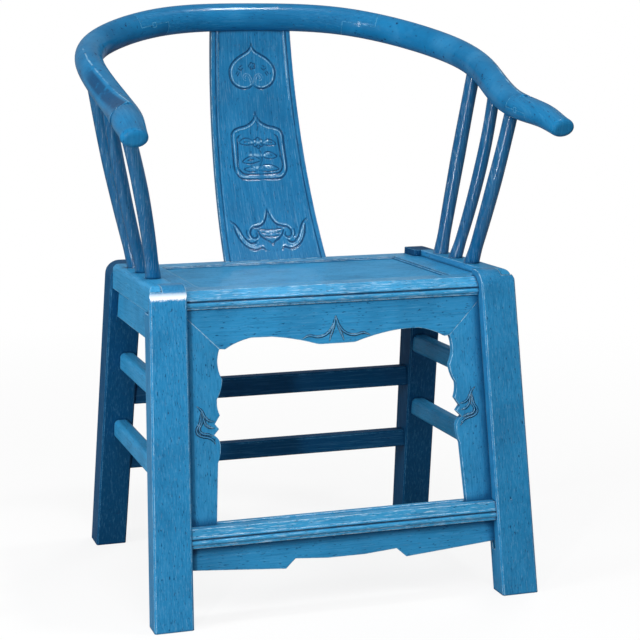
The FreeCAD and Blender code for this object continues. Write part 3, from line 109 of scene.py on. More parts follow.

# The finish of each group of pieces: its material, the setting that holds its paint, its pale blue for rubbed
# paint and painted highlights, the roughness of its gloss, the weight of its clear coat, where dirt and
# painted shade gather on it, and how much painted glint frosts it.
FINISHES = (
    (("back_stretcher", "leg_back"), "old_grimy_lacquer_on_elm", "back_legs",
     "#5fa8d0", 0.5, 0.1, CLOSE_DIRT_AND_SHADE, 0.05),
    (("seat_panel",), "rubbed_seat_lacquer_on_elm", "seat",
     "#8fd0f0", 0.34, 0.1, CLOSE_DIRT_AND_SHADE, 0.25),
    (("crest_", "scarf_"), "handled_lacquer_on_elm", "crest",
     "#62b0da", 0.27, 0.3, CLOSE_DIRT_AND_SHADE, 0.06),
    (("back_splat",), "polished_lacquer_on_elm", "splat",
     PALE_BLUE, 0.27, 0.4, CLOSE_DIRT_AND_SHADE, 0.14),
    (("post_",), "glossy_lacquer_on_elm", "posts",
     "#d6effb", 0.25, 1.0, CLOSE_DIRT_AND_SHADE, 0.16),
    (("seat_front", "seat_back", "foot_rail"), "moulded_lacquer_on_elm", "mouldings",
     "#d6effb", 0.28, 0.3, CLOSE_DIRT_AND_SHADE, 0.6),
    (("apron_", "front_apron", "foot_apron"), "recessed_lacquer_on_elm", "aprons",
     PALE_BLUE, 0.3, 0.2, WIDE_PAINTED_SHADE, 0.08),
    (("side_", "seat_side"), "light_lacquer_on_elm", "sides",
     "#a9daf3", 0.3, 0.1, CLOSE_DIRT_AND_SHADE, 0.15),
    (("",), "brushed_lacquer_on_elm", "front_legs",
     "#c6e8f8", 0.28, 0.3, CLOSE_DIRT_AND_SHADE, 0.1),
)

# The lamps: the setting that holds the power, width and height, place, the point it faces, and whether the
# gloss shows it.
LAMPS = (
    ("key_lamp", "key_power", (1.3, 1.3), (-0.4, -2.3, 2.3), (0, -0.1, 0.45), False),
    ("side_lamp", "side_power", (1.0, 1.0), (-2.7, -0.8, 1.45), (0, 0, 0.5), False),
    ("back_lamp", "back_power", (1.4, 1.4), (2.1, 2.4, 1.9), (0, 0, 0.5), False),
    ("top_lamp", "top_power", (0.25, 0.25), (0.6, -0.3, 2.8), (0, 0, 0.9), True),
    ("strip_lamp", "strip_power", (0.12, 1.5), (-1.63, -2.5, 1.0), (0, 0, 0.7), True),
)


# The groups' blues stand for one paint as painted light and shade: lighter for the groups that the lamps
# light well, darker for those in shade.
class PaintSettings(bpy.types.PropertyGroup):
    """Colours and surface of the painted wood."""

    front_legs: bpy.props.StringProperty(
        name="Front legs", description="Blue of the front legs, as sRGB hex", default="#2680b3"
    )
    # Painted shade: the back legs and their stretchers are made darker for the shade under the seat.
    back_legs: bpy.props.StringProperty(
        name="Back legs", description="Dark blue of the back legs and their stretchers, as sRGB hex",
        default="#084872"
    )
    seat: bpy.props.StringProperty(
        name="Seat", description="Blue of the rubbed seat panel, as sRGB hex", default="#3593c6"
    )
    mouldings: bpy.props.StringProperty(
        name="Mouldings", description="Blue of the front and back seat rails and the foot rail, as sRGB hex",
        default="#3a97c9"
    )
    aprons: bpy.props.StringProperty(
        name="Aprons", description="Blue of the front aprons and their brackets, as sRGB hex",
        default="#2e89bc"
    )
    # Painted light: the side pieces are made lighter for the lamp on the left.
    sides: bpy.props.StringProperty(
        name="Sides", description="Blue of the side rails, aprons and stretchers, as sRGB hex",
        default="#3492c6"
    )
    # Painted shade: the posts are made darker for the shade on their sides.
    posts: bpy.props.StringProperty(
        name="Posts", description="Blue of the slim posts, as sRGB hex", default="#105a88"
    )
    splat: bpy.props.StringProperty(
        name="Splat", description="Blue of the back splat, as sRGB hex", default="#1b72a3"
    )
    crest: bpy.props.StringProperty(
        name="Crest rail", description="Blue of the crest rail and the arms, as sRGB hex", default="#1871a3"
    )
    # The deep blue is also the painted shade in corners, recesses and cuts.
    deep: bpy.props.StringProperty(
        name="Deep blue", description="Blue of the streaks, pits and recesses, as sRGB hex", default="#063a63"
    )
    worn: bpy.props.StringProperty(
        name="Worn blue", description="Pale blue of the thinnest brush strokes, as sRGB hex",
        default="#7cc4ea"
    )
    # Painted highlight: the white of the pale band on the left front leg's shoulder, which stands for a
    # glint.
    shoulder_glint: bpy.props.StringProperty(
        name="Ground coat", description="White where a leg is rubbed through, as sRGB hex", default="#f4fbff"
    )
    streak_width: bpy.props.FloatProperty(
        name="Streak width", description="Width of one brush stroke over the grain", default=2.6 * MM,
        unit="LENGTH"
    )
    streak_length: bpy.props.FloatProperty(
        name="Streak length", description="Length of one brush stroke along the grain", default=75 * MM,
        unit="LENGTH"
    )
    wear_width: bpy.props.FloatProperty(
        name="Wear width", description="Width of the rubbed band along each edge", default=2.2 * MM,
        unit="LENGTH"
    )


class CarvingSettings(bpy.types.PropertyGroup):
    """Sizes of the carved lines."""

    strand: bpy.props.FloatProperty(
        name="Strand", description="Width of a raised line on the apron", default=2.0 * MM, unit="LENGTH"
    )
    border: bpy.props.FloatProperty(
        name="Border", description="Width of the splat's raised border", default=13 * MM, unit="LENGTH"
    )
    bead: bpy.props.FloatProperty(
        name="Bead", description="Width of the bead along the border's inner edge", default=3.2 * MM,
        unit="LENGTH"
    )
    step: bpy.props.FloatProperty(
        name="Step", description="Width of the slope from the border down to the field", default=0.6 * MM,
        unit="LENGTH"
    )
    ridge: bpy.props.FloatProperty(
        name="Ridge", description="Height of the ridge on each arm", default=3.0 * MM, unit="LENGTH"
    )


class StageSettings(bpy.types.PropertyGroup):
    """Camera, lamps and floor."""

    camera_place: bpy.props.FloatVectorProperty(
        name="Camera place", description="Where the camera stands", default=(-0.8150, -2.7101, 0.8783),
        unit="LENGTH"
    )
    yaw: bpy.props.FloatProperty(
        name="Yaw", description="Turn of the camera to the right of the chair's own axis",
        default=math.radians(17.45), subtype="ANGLE"
    )
    pitch: bpy.props.FloatProperty(
        name="Pitch", description="How far the camera looks down", default=math.radians(9.15), subtype="ANGLE"
    )
    roll: bpy.props.FloatProperty(
        name="Roll", description="Tilt of the camera about its own axis", default=math.radians(-0.45),
        subtype="ANGLE"
    )
    lens: bpy.props.FloatProperty(name="Lens", description="Focal length in millimetres", default=95.79)
    key_power: bpy.props.FloatProperty(
        name="Key lamp", description="Power of the broad lamp high in front", default=35.0, subtype="POWER"
    )
    side_power: bpy.props.FloatProperty(
        name="Side lamp", description="Power of the broad lamp on the left", default=46.0, subtype="POWER"
    )
    back_power: bpy.props.FloatProperty(
        name="Back lamp", description="Power of the broad lamp behind on the right", default=34.0,
        subtype="POWER"
    )
    top_power: bpy.props.FloatProperty(
        name="Top lamp", description="Power of the small lamp overhead", default=18.0, subtype="POWER"
    )
    strip_power: bpy.props.FloatProperty(
        name="Strip lamp", description="Power of the tall narrow lamp on the left", default=30.0,
        subtype="POWER"
    )
    fill: bpy.props.FloatProperty(name="Fill", description="Light from all round", default=0.22)


def linear(hex_colour):
    """An sRGB hex colour as linear RGBA."""
    shares = [int(hex_colour[place:place + 2], 16) / 255 for place in (1, 3, 5)]
    light = [share / 12.92 if share <= 0.04045 else ((share + 0.055) / 1.055) ** 2.4 for share in shares]
    return [*light, 1.0]


def add_node(tree, kind, settings=None, links=None):
    """Adds a node. Settings are its properties or its inputs' values, and links are its inputs' sources."""
    made = tree.nodes.new(kind)
    for key, value in (settings or {}).items():
        if isinstance(key, str) and hasattr(made, key):
            setattr(made, key, value)
        else:
            made.inputs[key].default_value = value
    for key, source in (links or {}).items():
        tree.links.new(source, made.inputs[key])
    return made


def new_material(name):
    """An empty node material and its tree, with a principled shader wired to its output."""
    material = bpy.data.materials.new(name)
    material.use_nodes = True
    tree = material.node_tree
    tree.nodes.clear()
    shader = add_node(tree, "ShaderNodeBsdfPrincipled")
    add_node(tree, "ShaderNodeOutputMaterial", links={"Surface": shader.outputs["BSDF"]})
    return material, tree, shader


def drawn_out(tree, place, grain, size, look):
    """A noise whose marks have a length along the grain and a width across it."""
    length, width = size
    stretch = [1 / length if axis in grain else 1 / width for axis in "XYZ"]
    along = add_node(tree, "ShaderNodeMapping", {"Scale": stretch}, {"Vector": place})
    noise = add_node(tree, "ShaderNodeTexNoise", {"Scale": 1.0, **look}, {"Vector": along.outputs[0]})
    return noise.outputs["Fac"]


def painted_wood(name, grain, paint, pale_wear_and_glint, settings, gloss, coat, dirt_and_shade, scuff_glint, shoulder):
    """Elm brushed with several coats of blue lacquer and rubbed back by long use.

    The brush leaves fine streaks along the grain and open pores show as dark pits. The paint is paler along
    the edges, as rubbed paint and painted highlight, and darker in the corners, as grime and painted shade. A
    piece with a shoulder height gets a painted highlight on its front just below that height.
    """
    material, tree, shader = new_material(name)
    place = add_node(tree, "ShaderNodeTexCoord").outputs["Object"]
    streaks = drawn_out(
        tree, place, grain, (settings.streak_length, settings.streak_width),
        {"Detail": 4.0, "Roughness": 0.62, "Distortion": 0.25}
    )
    dark_streaks = add_node(
        tree, "ShaderNodeMapRange", {"From Min": 0.52, "From Max": 0.8, "To Max": 0.45}, {"Value": streaks}
    )
    pale_streaks = add_node(
        tree, "ShaderNodeMapRange", {"From Min": 0.48, "From Max": 0.2, "To Max": 0.16}, {"Value": streaks}
    )
    # Broad cloudy patches, where the coats are thinner.
    clouds = add_node(tree, "ShaderNodeTexNoise", {"Scale": 1 / PATCH_SIZE, "Detail": 2.0}, {"Vector": place})
    patches = add_node(
        tree, "ShaderNodeMapRange", {"From Min": 0.45, "From Max": 0.8, "To Max": 0.3},
        {"Value": clouds.outputs["Fac"]}
    )
    # Open pores and small chips, which are dark pits.
    pores = drawn_out(tree, place, grain, PORE_SIZE, {"Detail": 3.0})
    pits = add_node(tree, "ShaderNodeMapRange", {"From Min": 0.63, "From Max": 0.72}, {"Value": pores})
    # Scuffs, with painted glints on them: pale streaks that stand for broken highlights on the gloss.
    scuffs = drawn_out(tree, place, grain, SCUFF_SIZE, {"Detail": 4.0, "Roughness": 0.7})
    scuff_glints = add_node(
        tree, "ShaderNodeMapRange", {"From Min": 0.55, "From Max": 0.68, "To Max": scuff_glint}, {"Value": scuffs}
    )
    # Edges: where the rounded normal leaves the flat one, the paint is pale, as rubbed paint and painted
    # highlight.
    rounded = add_node(tree, "ShaderNodeBevel", {"samples": 6, "Radius": settings.wear_width}).outputs[0]
    flat = add_node(tree, "ShaderNodeNewGeometry").outputs["Normal"]
    bend = add_node(tree, "ShaderNodeVectorMath", {"operation": "DOT_PRODUCT"}, {0: rounded, 1: flat})
    edges = add_node(
        tree, "ShaderNodeMapRange", {"From Min": 0.985, "From Max": 0.86, "To Max": 0.95},
        {"Value": bend.outputs["Value"]}
    )
    # The pale edges come and go, because the paint chips away in pieces.
    chips = add_node(
        tree, "ShaderNodeTexNoise", {"Scale": 1 / CHIP_SIZE, "Detail": 4.0, "Roughness": 0.65},
        {"Vector": place}
    )
    chipped = add_node(
        tree, "ShaderNodeMapRange", {"From Min": 0.42, "From Max": 0.56, "To Min": 0.15},
        {"Value": chips.outputs["Fac"]}
    )
    worn_and_glinting = add_node(
        tree, "ShaderNodeMath", {"operation": "MULTIPLY"}, {0: edges.outputs[0], 1: chipped.outputs[0]}
    )
    colour = None
    for mask, tint in (
        (dark_streaks, settings.deep), (pale_streaks, settings.worn), (patches, settings.deep),
        (pits, settings.deep), (scuff_glints, pale_wear_and_glint), (worn_and_glinting, pale_wear_and_glint),
    ):
        links = {0: mask.outputs[0]}
        if colour:
            links[6] = colour.outputs[2]
        colour = add_node(
            tree, "ShaderNodeMix", {"data_type": "RGBA", 6: linear(paint), 7: linear(tint)}, links
        )
    if shoulder:
        colour = shoulder_highlight(tree, colour, place, flat, shoulder, settings.shoulder_glint)
    # Corners: dirt, thick old paint and painted shade darken the paint beside a joint, out to a reach and
    # where that much sky is left.
    shade_reach, shade_from, shade_full = dirt_and_shade
    open_sky = add_node(tree, "ShaderNodeAmbientOcclusion", {"samples": 8, "Distance": shade_reach})
    dirt_and_shade_mask = add_node(
        tree, "ShaderNodeMapRange", {"From Min": shade_from, "From Max": shade_full, "To Max": 0.85},
        {"Value": open_sky.outputs["AO"]}
    )
    colour = add_node(
        tree, "ShaderNodeMix", {"data_type": "RGBA", 7: linear(settings.deep)},
        {0: dirt_and_shade_mask.outputs[0], 6: colour.outputs[2]}
    )
    # Carved pieces say how deep each place is cut: dirt and painted shade darken the cuts, and the beads are
    # pale where hands have rubbed them and as a painted highlight, both broken by scuffs.
    carved = add_node(tree, "ShaderNodeAttribute", {"attribute_name": DEPTH_ATTRIBUTE}).outputs["Fac"]
    darkened_cuts = add_node(tree, "ShaderNodeMapRange", {"From Min": 0.3, "From Max": 0.5}, {"Value": scuffs})
    pale_highlight = add_node(tree, "ShaderNodeMapRange", {"From Min": 0.42, "From Max": 0.6}, {"Value": scuffs})
    for start, full, share, tint, scuffed in (
        (0.1 * MM, 0.7 * MM, 0.95, settings.deep, darkened_cuts), (-0.25 * MM, -0.8 * MM, 0.85, PALE_BLUE, pale_highlight)
    ):
        reached = add_node(
            tree, "ShaderNodeMapRange", {"From Min": start, "From Max": full, "To Max": share},
            {"Value": carved}
        )
        reached = add_node(
            tree, "ShaderNodeMath", {"operation": "MULTIPLY"}, {0: reached.outputs[0], 1: scuffed.outputs[0]}
        )
        colour = add_node(
            tree, "ShaderNodeMix", {"data_type": "RGBA", 7: linear(tint)},
            {0: reached.outputs[0], 6: colour.outputs[2]}
        )
    tree.links.new(colour.outputs[2], shader.inputs["Base Color"])
    shine = add_node(
        tree, "ShaderNodeMapRange", {"To Min": gloss, "To Max": gloss + 0.22}, {"Value": streaks}
    )
    tree.links.new(shine.outputs[0], shader.inputs["Roughness"])
    # The brush marks stand about 0.1 mm and the pores go in about 0.3 mm.
    height = add_node(
        tree, "ShaderNodeMath", {"operation": "MULTIPLY_ADD", 1: -2.5}, {0: pits.outputs[0], 2: streaks}
    )
    bump = add_node(
        tree, "ShaderNodeBump", {"Strength": 0.8, "Distance": 0.14 * MM},
        {"Height": height.outputs[0], "Normal": rounded}
    )
    tree.links.new(bump.outputs[0], shader.inputs["Normal"])
    # The last coat of clear lacquer is thin, hard and broken by the brush marks, so glints have ragged edges.
    tree.links.new(bump.outputs[0], shader.inputs["Coat Normal"])
    shader.inputs["Coat Weight"].default_value = coat
    shader.inputs["Coat Roughness"].default_value = 0.1
    shader.inputs["Specular IOR Level"].default_value = 0.08
    shader.inputs["IOR"].default_value = 1.5
    return material


def shoulder_highlight(tree, colour, place, flat, height, shoulder_glint):
    """Mixes a painted highlight into a colour: a ragged pale band on the front face a little below a height.
    """
    middle = height - SHOULDER_DROP
    level = add_node(tree, "ShaderNodeSeparateXYZ", links={"Vector": place}).outputs["Z"]
    off = add_node(tree, "ShaderNodeMath", {"operation": "SUBTRACT", 1: middle}, {0: level})
    off = add_node(tree, "ShaderNodeMath", {"operation": "ABSOLUTE"}, {0: off.outputs[0]})
    band = add_node(
        tree, "ShaderNodeMapRange", {"From Min": SHOULDER_EDGE, "From Max": SHOULDER_FULL},
        {"Value": off.outputs[0]}
    )
    faces = add_node(tree, "ShaderNodeVectorMath", {"operation": "DOT_PRODUCT", 1: (0, -1, 0)}, {0: flat})
    front = add_node(
        tree, "ShaderNodeMapRange", {"From Min": 0.7, "From Max": 0.9}, {"Value": faces.outputs["Value"]}
    )
    ragged = add_node(
        tree, "ShaderNodeTexNoise", {"Scale": 1 / RAGGED_SIZE, "Detail": 5.0, "Roughness": 0.8},
        {"Vector": place}
    )
    pale_highlight = add_node(
        tree, "ShaderNodeMath", {"operation": "ADD"}, {0: ragged.outputs["Fac"], 1: band.outputs[0]}
    )
    pale_highlight = add_node(
        tree, "ShaderNodeMapRange", {"From Min": 1.02, "From Max": 1.3}, {"Value": pale_highlight.outputs[0]}
    )
    pale_highlight = add_node(
        tree, "ShaderNodeMath", {"operation": "MULTIPLY"}, {0: pale_highlight.outputs[0], 1: front.outputs[0]}
    )
    return add_node(
        tree, "ShaderNodeMix", {"data_type": "RGBA", 7: linear(shoulder_glint)},
        {0: pale_highlight.outputs[0], 6: colour.outputs[2]}
    )


def bare_wood(name):
    """Plain elm, planed and left unpainted, as under most seats: warm brown with fine straight grain."""
    material, tree, shader = new_material(name)
    place = add_node(tree, "ShaderNodeTexCoord").outputs["Object"]
    grain = drawn_out(tree, place, "Y", BARE_GRAIN_SIZE, {"Detail": 5.0})
    colour = add_node(
        tree, "ShaderNodeMix", {"data_type": "RGBA", 6: linear("#7a5636"), 7: linear("#4a3220")}, {0: grain}
    )
    tree.links.new(colour.outputs[2], shader.inputs["Base Color"])
    shader.inputs["Roughness"].default_value = 0.7
    bump = add_node(tree, "ShaderNodeBump", {"Distance": 0.15 * MM}, {"Height": grain})
    tree.links.new(bump.outputs[0], shader.inputs["Normal"])
    return material


def grain_of(node):
    """The axes that the grain of a piece follows."""
    return next(grain for starts, grain in GRAINS if node.startswith(starts))


def material_for(node):
    """The finish of a piece, made when it is first asked for."""
    settings = bpy.context.scene.chair_paint
    if node.startswith("seat_batten"):
        return bpy.data.materials.get("planed_bare_elm") or bare_wood("planed_bare_elm")
    finish = next(row for row in FINISHES if node.startswith(row[0]))
    _, name, paint, pale_wear_and_glint, gloss, coat, dirt_and_shade, scuff_glint = finish
    grain = grain_of(node)
    name = f"{name}_{grain.lower()}"
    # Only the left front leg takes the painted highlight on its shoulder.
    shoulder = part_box(node)[1][2] if node == "leg_front_left" else None
    if shoulder:
        name += "_shoulder"
    if name in bpy.data.materials:
        return bpy.data.materials[name]
    paint = getattr(settings, paint)
    return painted_wood(name, grain, paint, pale_wear_and_glint, settings, gloss, coat, dirt_and_shade, scuff_glint, shoulder)


def dress(piece, node):
    """Gives a piece the finish of a node, and no other."""
    piece.data.materials.clear()
    piece.data.materials.append(material_for(node))


def select_only(*objects):
    """Selects some objects and nothing else, with the first of them active."""
    bpy.ops.object.select_all(action="DESELECT")
    for thing in objects:
        thing.select_set(True)
    bpy.context.view_layer.objects.active = objects[0]


def mark_depths(piece, marked_depths):
    """Writes how deep each point of a piece counts as cut, in metres, for its painted shade and highlight."""
    piece.data.attributes.new(DEPTH_ATTRIBUTE, "FLOAT", "POINT").data.foreach_set("value", marked_depths)


def surface_of(*nodes):
    """A tree for casting rays at the faces of some nodes."""
    places, faces = [], []
    for node in nodes:
        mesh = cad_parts[node].data
        faces += [[corner + len(places) for corner in face.vertices] for face in mesh.polygons]
        places += [vertex.co.copy() for vertex in mesh.vertices]
    return BVHTree.FromPolygons(places, faces)


def front_of(node, side=1):
    """A function that gives the Y of a node's front at an X and Z, or of its back for a side of -1."""
    tree = surface_of(node)

    def depth(x, z):
        found = tree.ray_cast(Vector((x, -2 * side, z)), Vector((0, side, 0)))[0]
        return (found or tree.find_nearest(Vector((x, -0.35 * side, z)))[0]).y

    return depth


def smooth(line, step=0.5):
    """Close points on a smooth curve through a line's points, in millimetres, with their share of the way."""
    ends = [Vector(point) for point in (line[0], *line, line[-1])]
    reach = sum((after - before).length for before, after in zip(ends, ends[1:]))
    points, gone = [], 0.0
    for before, here, there, after in zip(ends, ends[1:], ends[2:], ends[3:]):
        length = (there - here).length
        steps = max(2, int(length / step))
        lean_here, lean_there = (there - before) / 6, (after - here) / 6
        handles = [point.to_3d() for point in (here, here + lean_here, there - lean_there, there)]
        for index, point in enumerate(interpolate_bezier(*handles, steps)):
            points.append((point.x, point.y, (gone + length * index / steps) / reach))
        gone += length
    return points


def beside(line, distance):
    """A line that runs beside another at a distance, to its right."""
    points = [Vector(point) for point in line]
    moved = []
    for index, point in enumerate(points):
        run = points[min(index + 1, len(points) - 1)] - points[max(index - 1, 0)]
        across = Vector((run.y, -run.x)).normalized() * distance
        moved.append((point.x + across.x, point.y + across.y))
    return moved


def mirrored(lines):
    """The lines and their mirror images in the middle plane of the chair."""
    return [*lines, *[[(-x, z) for x, z in line] for line in lines]]


def petals(x, z, count, radius):
    """Rounded petals round a middle, as a carver opens a flower."""
    lines = []
    for index in range(count):
        middle = math.tau * (index + 0.5) / count
        spread = math.tau / count / 2
        outline = [
            (middle + turn * spread, radius * out)
            for turn, out in ((-0.75, 0.35), (-0.85, 0.8), (0, 1.05), (0.85, 0.8), (0.75, 0.35))
        ]
        lines.append([(x + out * math.cos(angle), z + out * math.sin(angle)) for angle, out in outline])
    return lines


def relief(strokes):
    """A function that gives how far a carved face stands out at a place, from strokes by their kind."""
    trees = {}
    for kind, lines in strokes.items():
        points = [point for line in lines for point in smooth(line)]
        tree = KDTree(len(points))
        for index, (x, z, _) in enumerate(points):
            tree.insert((x, z, 0), index)
        tree.balance()
        trees[kind] = tree, [min(1.0, 0.35 + 6 * min(way, 1 - way)) for _, _, way in points]

    def height(x, z):
        total = 0.0
        for kind, (tree, strengths) in trees.items():
            reach, rise = STROKES[kind]
            _, index, distance = tree.find((x / MM, z / MM, 0))
            if distance < reach:
                total += rise * strengths[index] * (1 - (distance / reach) ** 2) ** 2
        return total * MM

    return height


def arc_through(depth, x, low, high):
    """How far back a face that is an arc in side view lies at a height, from three places on it."""
    spots = [Vector((depth(x, z), z)) for z in (low, (low + high) / 2, high)]
    a, b, c = spots
    weight = 2 * (a.x * (b.y - c.y) + b.x * (c.y - a.y) + c.x * (a.y - b.y))
    squares = [spot.length_squared for spot in spots]
    middle = Vector((
        (squares[0] * (b.y - c.y) + squares[1] * (c.y - a.y) + squares[2] * (a.y - b.y)) / weight,
        (squares[0] * (c.x - b.x) + squares[1] * (a.x - c.x) + squares[2] * (b.x - a.x)) / weight,
    ))
    radius = (a - middle).length
    side = math.copysign(1, b.x - middle.x)
    return lambda z: middle.x + side * math.sqrt(radius ** 2 - (z - middle.y) ** 2)


def closed_slab(name, columns, rows):
    """A closed slab from -1 to 1 in X and Y and from -1 to 0 in Z, with a fine grid for its upper face."""
    bpy.ops.object.select_all(action="DESELECT")
    bpy.ops.mesh.primitive_grid_add(x_subdivisions=columns, y_subdivisions=rows, size=2, location=(0, 0, 0))
    slab = bpy.context.object
    slab.name = slab.data.name = name
    mesh = slab.data
    for kind in (mesh.polygons, mesh.edges, mesh.vertices):
        kind.foreach_set("select", [False] * len(kind))
    near = 1 / columns / 10
    for edge in mesh.edges:
        ends = [mesh.vertices[index].co for index in edge.vertices]
        edge.select = all(abs(abs(end.x) - 1) < near for end in ends)
    bpy.ops.object.mode_set(mode="EDIT")
    bpy.ops.mesh.select_mode(type="EDGE")
    bpy.ops.mesh.extrude_region_move(TRANSFORM_OT_translate={"value": (0, 0, -1)})
    bpy.ops.mesh.bridge_edge_loops()
    bpy.ops.mesh.select_all(action="SELECT")
    bpy.ops.mesh.fill_holes(sides=0)
    bpy.ops.mesh.select_all(action="SELECT")
    bpy.ops.mesh.normals_make_consistent(inside=False)
    bpy.ops.object.mode_set(mode="OBJECT")
    return slab


def strands(name, lines, depth, width, rise, marked_depth):
    """Tapered strands on lines seen from the front, half sunk in a surface, with a rise and a depth for the
    paint.
    """
    bpy.ops.object.select_all(action="DESELECT")
    bpy.ops.curve.primitive_bezier_curve_add()
    strand = bpy.context.object
    strand.name = name
    curve = strand.data
    curve.splines.clear()
    curve.dimensions = "3D"
    curve.bevel_depth = width / 2
    curve.bevel_resolution = 3
    curve.resolution_u = 8
    curve.use_fill_caps = True
    for line in lines:
        spline = curve.splines.new("BEZIER")
        spline.bezier_points.add(len(line) - 1)
        for index, (point, (x, z)) in enumerate(zip(spline.bezier_points, line)):
            point.co = Vector((x * MM, 0, z * MM))
            point.handle_left_type = point.handle_right_type = "AUTO"
            point.radius = 0.3 if index in (0, len(line) - 1) else 1.0
    select_only(strand)
    bpy.ops.object.convert(target="MESH")
    strand = bpy.context.object
    strand.data.name = name
    for vertex in strand.data.vertices:
        vertex.co.y = vertex.co.y * rise + depth(vertex.co.x, vertex.co.z)
    merge_and_turn_out(strand)
    select_only(strand)
    bpy.ops.object.shade_smooth_by_angle(angle=math.radians(60))
    # A positive depth gives the strands painted shade, a negative one rubbed paint and a painted highlight.
    mark_depths(strand, [marked_depth] * len(strand.data.vertices))
    return strand


def merge_and_turn_out(piece):
    """Joins a mesh's loose faces and points them outward."""
    select_only(piece)
    bpy.ops.object.mode_set(mode="EDIT")
    bpy.ops.mesh.select_all(action="SELECT")
    bpy.ops.mesh.remove_doubles(threshold=0.01 * MM)
    bpy.ops.mesh.normals_make_consistent(inside=False)
    bpy.ops.object.mode_set(mode="OBJECT")


# The carver's strokes, in millimetres: how wide each kind is from its middle to its edge, and how high.
STROKES = {"bold": (2.0, -1.5), "fine": (1.6, -1.0), "bead": (1.5, 0.9), "swell": (5.0, 0.7)}

# The grid of the carved face of the splat: columns of the field and of the border on each side, and rows.
FIELD_COLUMNS = 140
EDGE_COLUMNS = 10
SPLAT_ROWS = 400

# Carved ornament of the splat, seen from the front, in millimetres. What is mirrored is the right half.
MEDALLION = [
    (0, 884), (2.5, 876), (8, 869), (17, 863.5), (28, 856.5), (38, 846), (42.5, 833), (40, 818), (32, 808),
    (20, 803), (9, 803.5), (0, 809),
]
SCROLL = [(1.5, 810), (3.5, 818), (7, 825.5), (12, 828), (16, 824.5), (14.5, 819.5), (10, 819.5)]
SPRIGS = [
    [(17, 840), (21, 836), (26, 839)], [(19, 844), (23, 841.5)],
    [(27, 834), (30, 829)], [(24, 832), (27.5, 826)],
]
CARTOUCHE = [
    (0, 763), (2.5, 753), (9, 744), (20, 737.5), (34, 734), (43, 729.5), (47.5, 721), (48, 705), (48.5, 680),
    (48, 661), (42, 650), (31, 644.5), (0, 644),
]
CARTOUCHE_RIM = [
    (31, 722), (37, 717), (38, 706), (39.5, 685), (41, 668), (37, 658), (27, 653), (0, 652.5),
]
STEM = [(1, 696), (4, 688), (4, 678), (0, 668), (-7, 660)]
LEAVES = [
    [(5, 685), (13, 691), (23, 690), (32, 683), (23, 679), (12, 680), (5, 684)],
    [(3, 677), (-8, 683), (-20, 683), (-32, 675), (-20, 671), (-8, 673), (2, 676)],
    [(-6, 661), (6, 668), (20, 668), (33, 661), (18, 657), (4, 657.5), (-6, 660)],
    [(-9, 661), (-18, 665), (-31, 662), (-20, 657), (-9, 658)],
    [(7, 707), (17, 713), (27, 711), (33, 704), (24, 702), (14, 703), (8, 705)],
    [(-7, 707), (-16, 715), (-27, 715), (-34, 708), (-25, 704), (-14, 704), (-8, 706)],
]
VEINS = [
    [(12, 686), (24, 684)], [(-10, 679), (-23, 677)], [(4, 663), (20, 662)], [(15, 708), (26, 707)],
    [(-14, 710), (-26, 709)], [(0, 728), (3, 738), (0, 745)],
]
CLOUD = [
    (0, 594), (2, 585), (7, 574), (14, 567), (23, 564), (32, 562), (37, 556), (36, 548.5), (30, 545.5),
    (25.5, 549), (27, 554),
]
KEEL = [(24, 558), (20, 550), (12, 543), (4, 538.5), (0, 533)]
REEDS = [
    [(-21, 560), (0, 558.5), (21, 560)], [(-18, 554), (0, 552), (18, 554)],
    [(-13, 548), (0, 546.5), (13, 548)],
]
FLAMES = [
    [(70, 576), (61, 568), (54, 557), (49, 546), (41, 538.5), (33, 537.5), (27, 542)],
    [(59, 561), (51.5, 550), (46, 543), (38, 541.5)],
    [(66, 569), (62, 552), (54, 538), (44, 530), (32, 526.5), (20, 529.5), (15, 525)],
    [(43, 560), (44, 551), (40, 546)],
]

# The lap of each arm, in millimetres: where it starts and ends along Y, and the X of its ridge at each Y.
LAP_START = 98
LAP_RIDGE_END = -192
LAP_OUTER_END = -232
LAP_RIDGE = [(-192, 318), (-141, 325), (-94, 331), (-42, 338), (9, 343), (98, 340)]
# How far round the rail it reaches: its share inside the ridge, and its turn inside it and down outside it.
LAP_BLEND = 0.3
LAP_INNER = math.radians(30)
LAP_LOWEST = math.radians(118)
RAIL_RADIUS = 24.5 * MM
# Its grid round the rail and along it, the sections read for the rail's middle, and how deep it is rooted.
LAP_COLUMNS = 56
LAP_ROWS = 140
RAIL_SECTIONS = 20
LAP_ROOT = 2 * MM
LAP_SEAM = 0.1 * MM

# How the lap stands out and how much painted shade darkens its scoop, from its ridge at 0 down to its outer
# edge at 1.
LAP_SCOOP = [(0, 1), (0.3, 0.1), (0.5, 0.1), (0.68, 0.6), (0.8, 0.55), (1, 0)]
LAP_SHADE = [(0, 0), (0.08, 0.2), (0.16, 1), (0.5, 1), (0.64, 0), (1, 0)]
# How deep the scoop's painted shade counts as cut, and how far raised the ridge counts, for its pale line of
# wear and painted highlight.
LAP_SHADE_DEPTH = 0.62 * MM
LAP_RIDGE_WEAR_AND_GLINT = 0.5 * MM

# The strands on the apron and the wider band of painted shade round them: how flat each is, and how deep it
# counts as cut.
STRAND_RISE = 0.9
STRAND_WEAR_AND_GLINT = -0.3 * MM
SHADE_BAND_SPREAD = 2.8 * MM
SHADE_BAND_RISE = 0.1
SHADE_BAND_DEPTH = 0.8 * MM

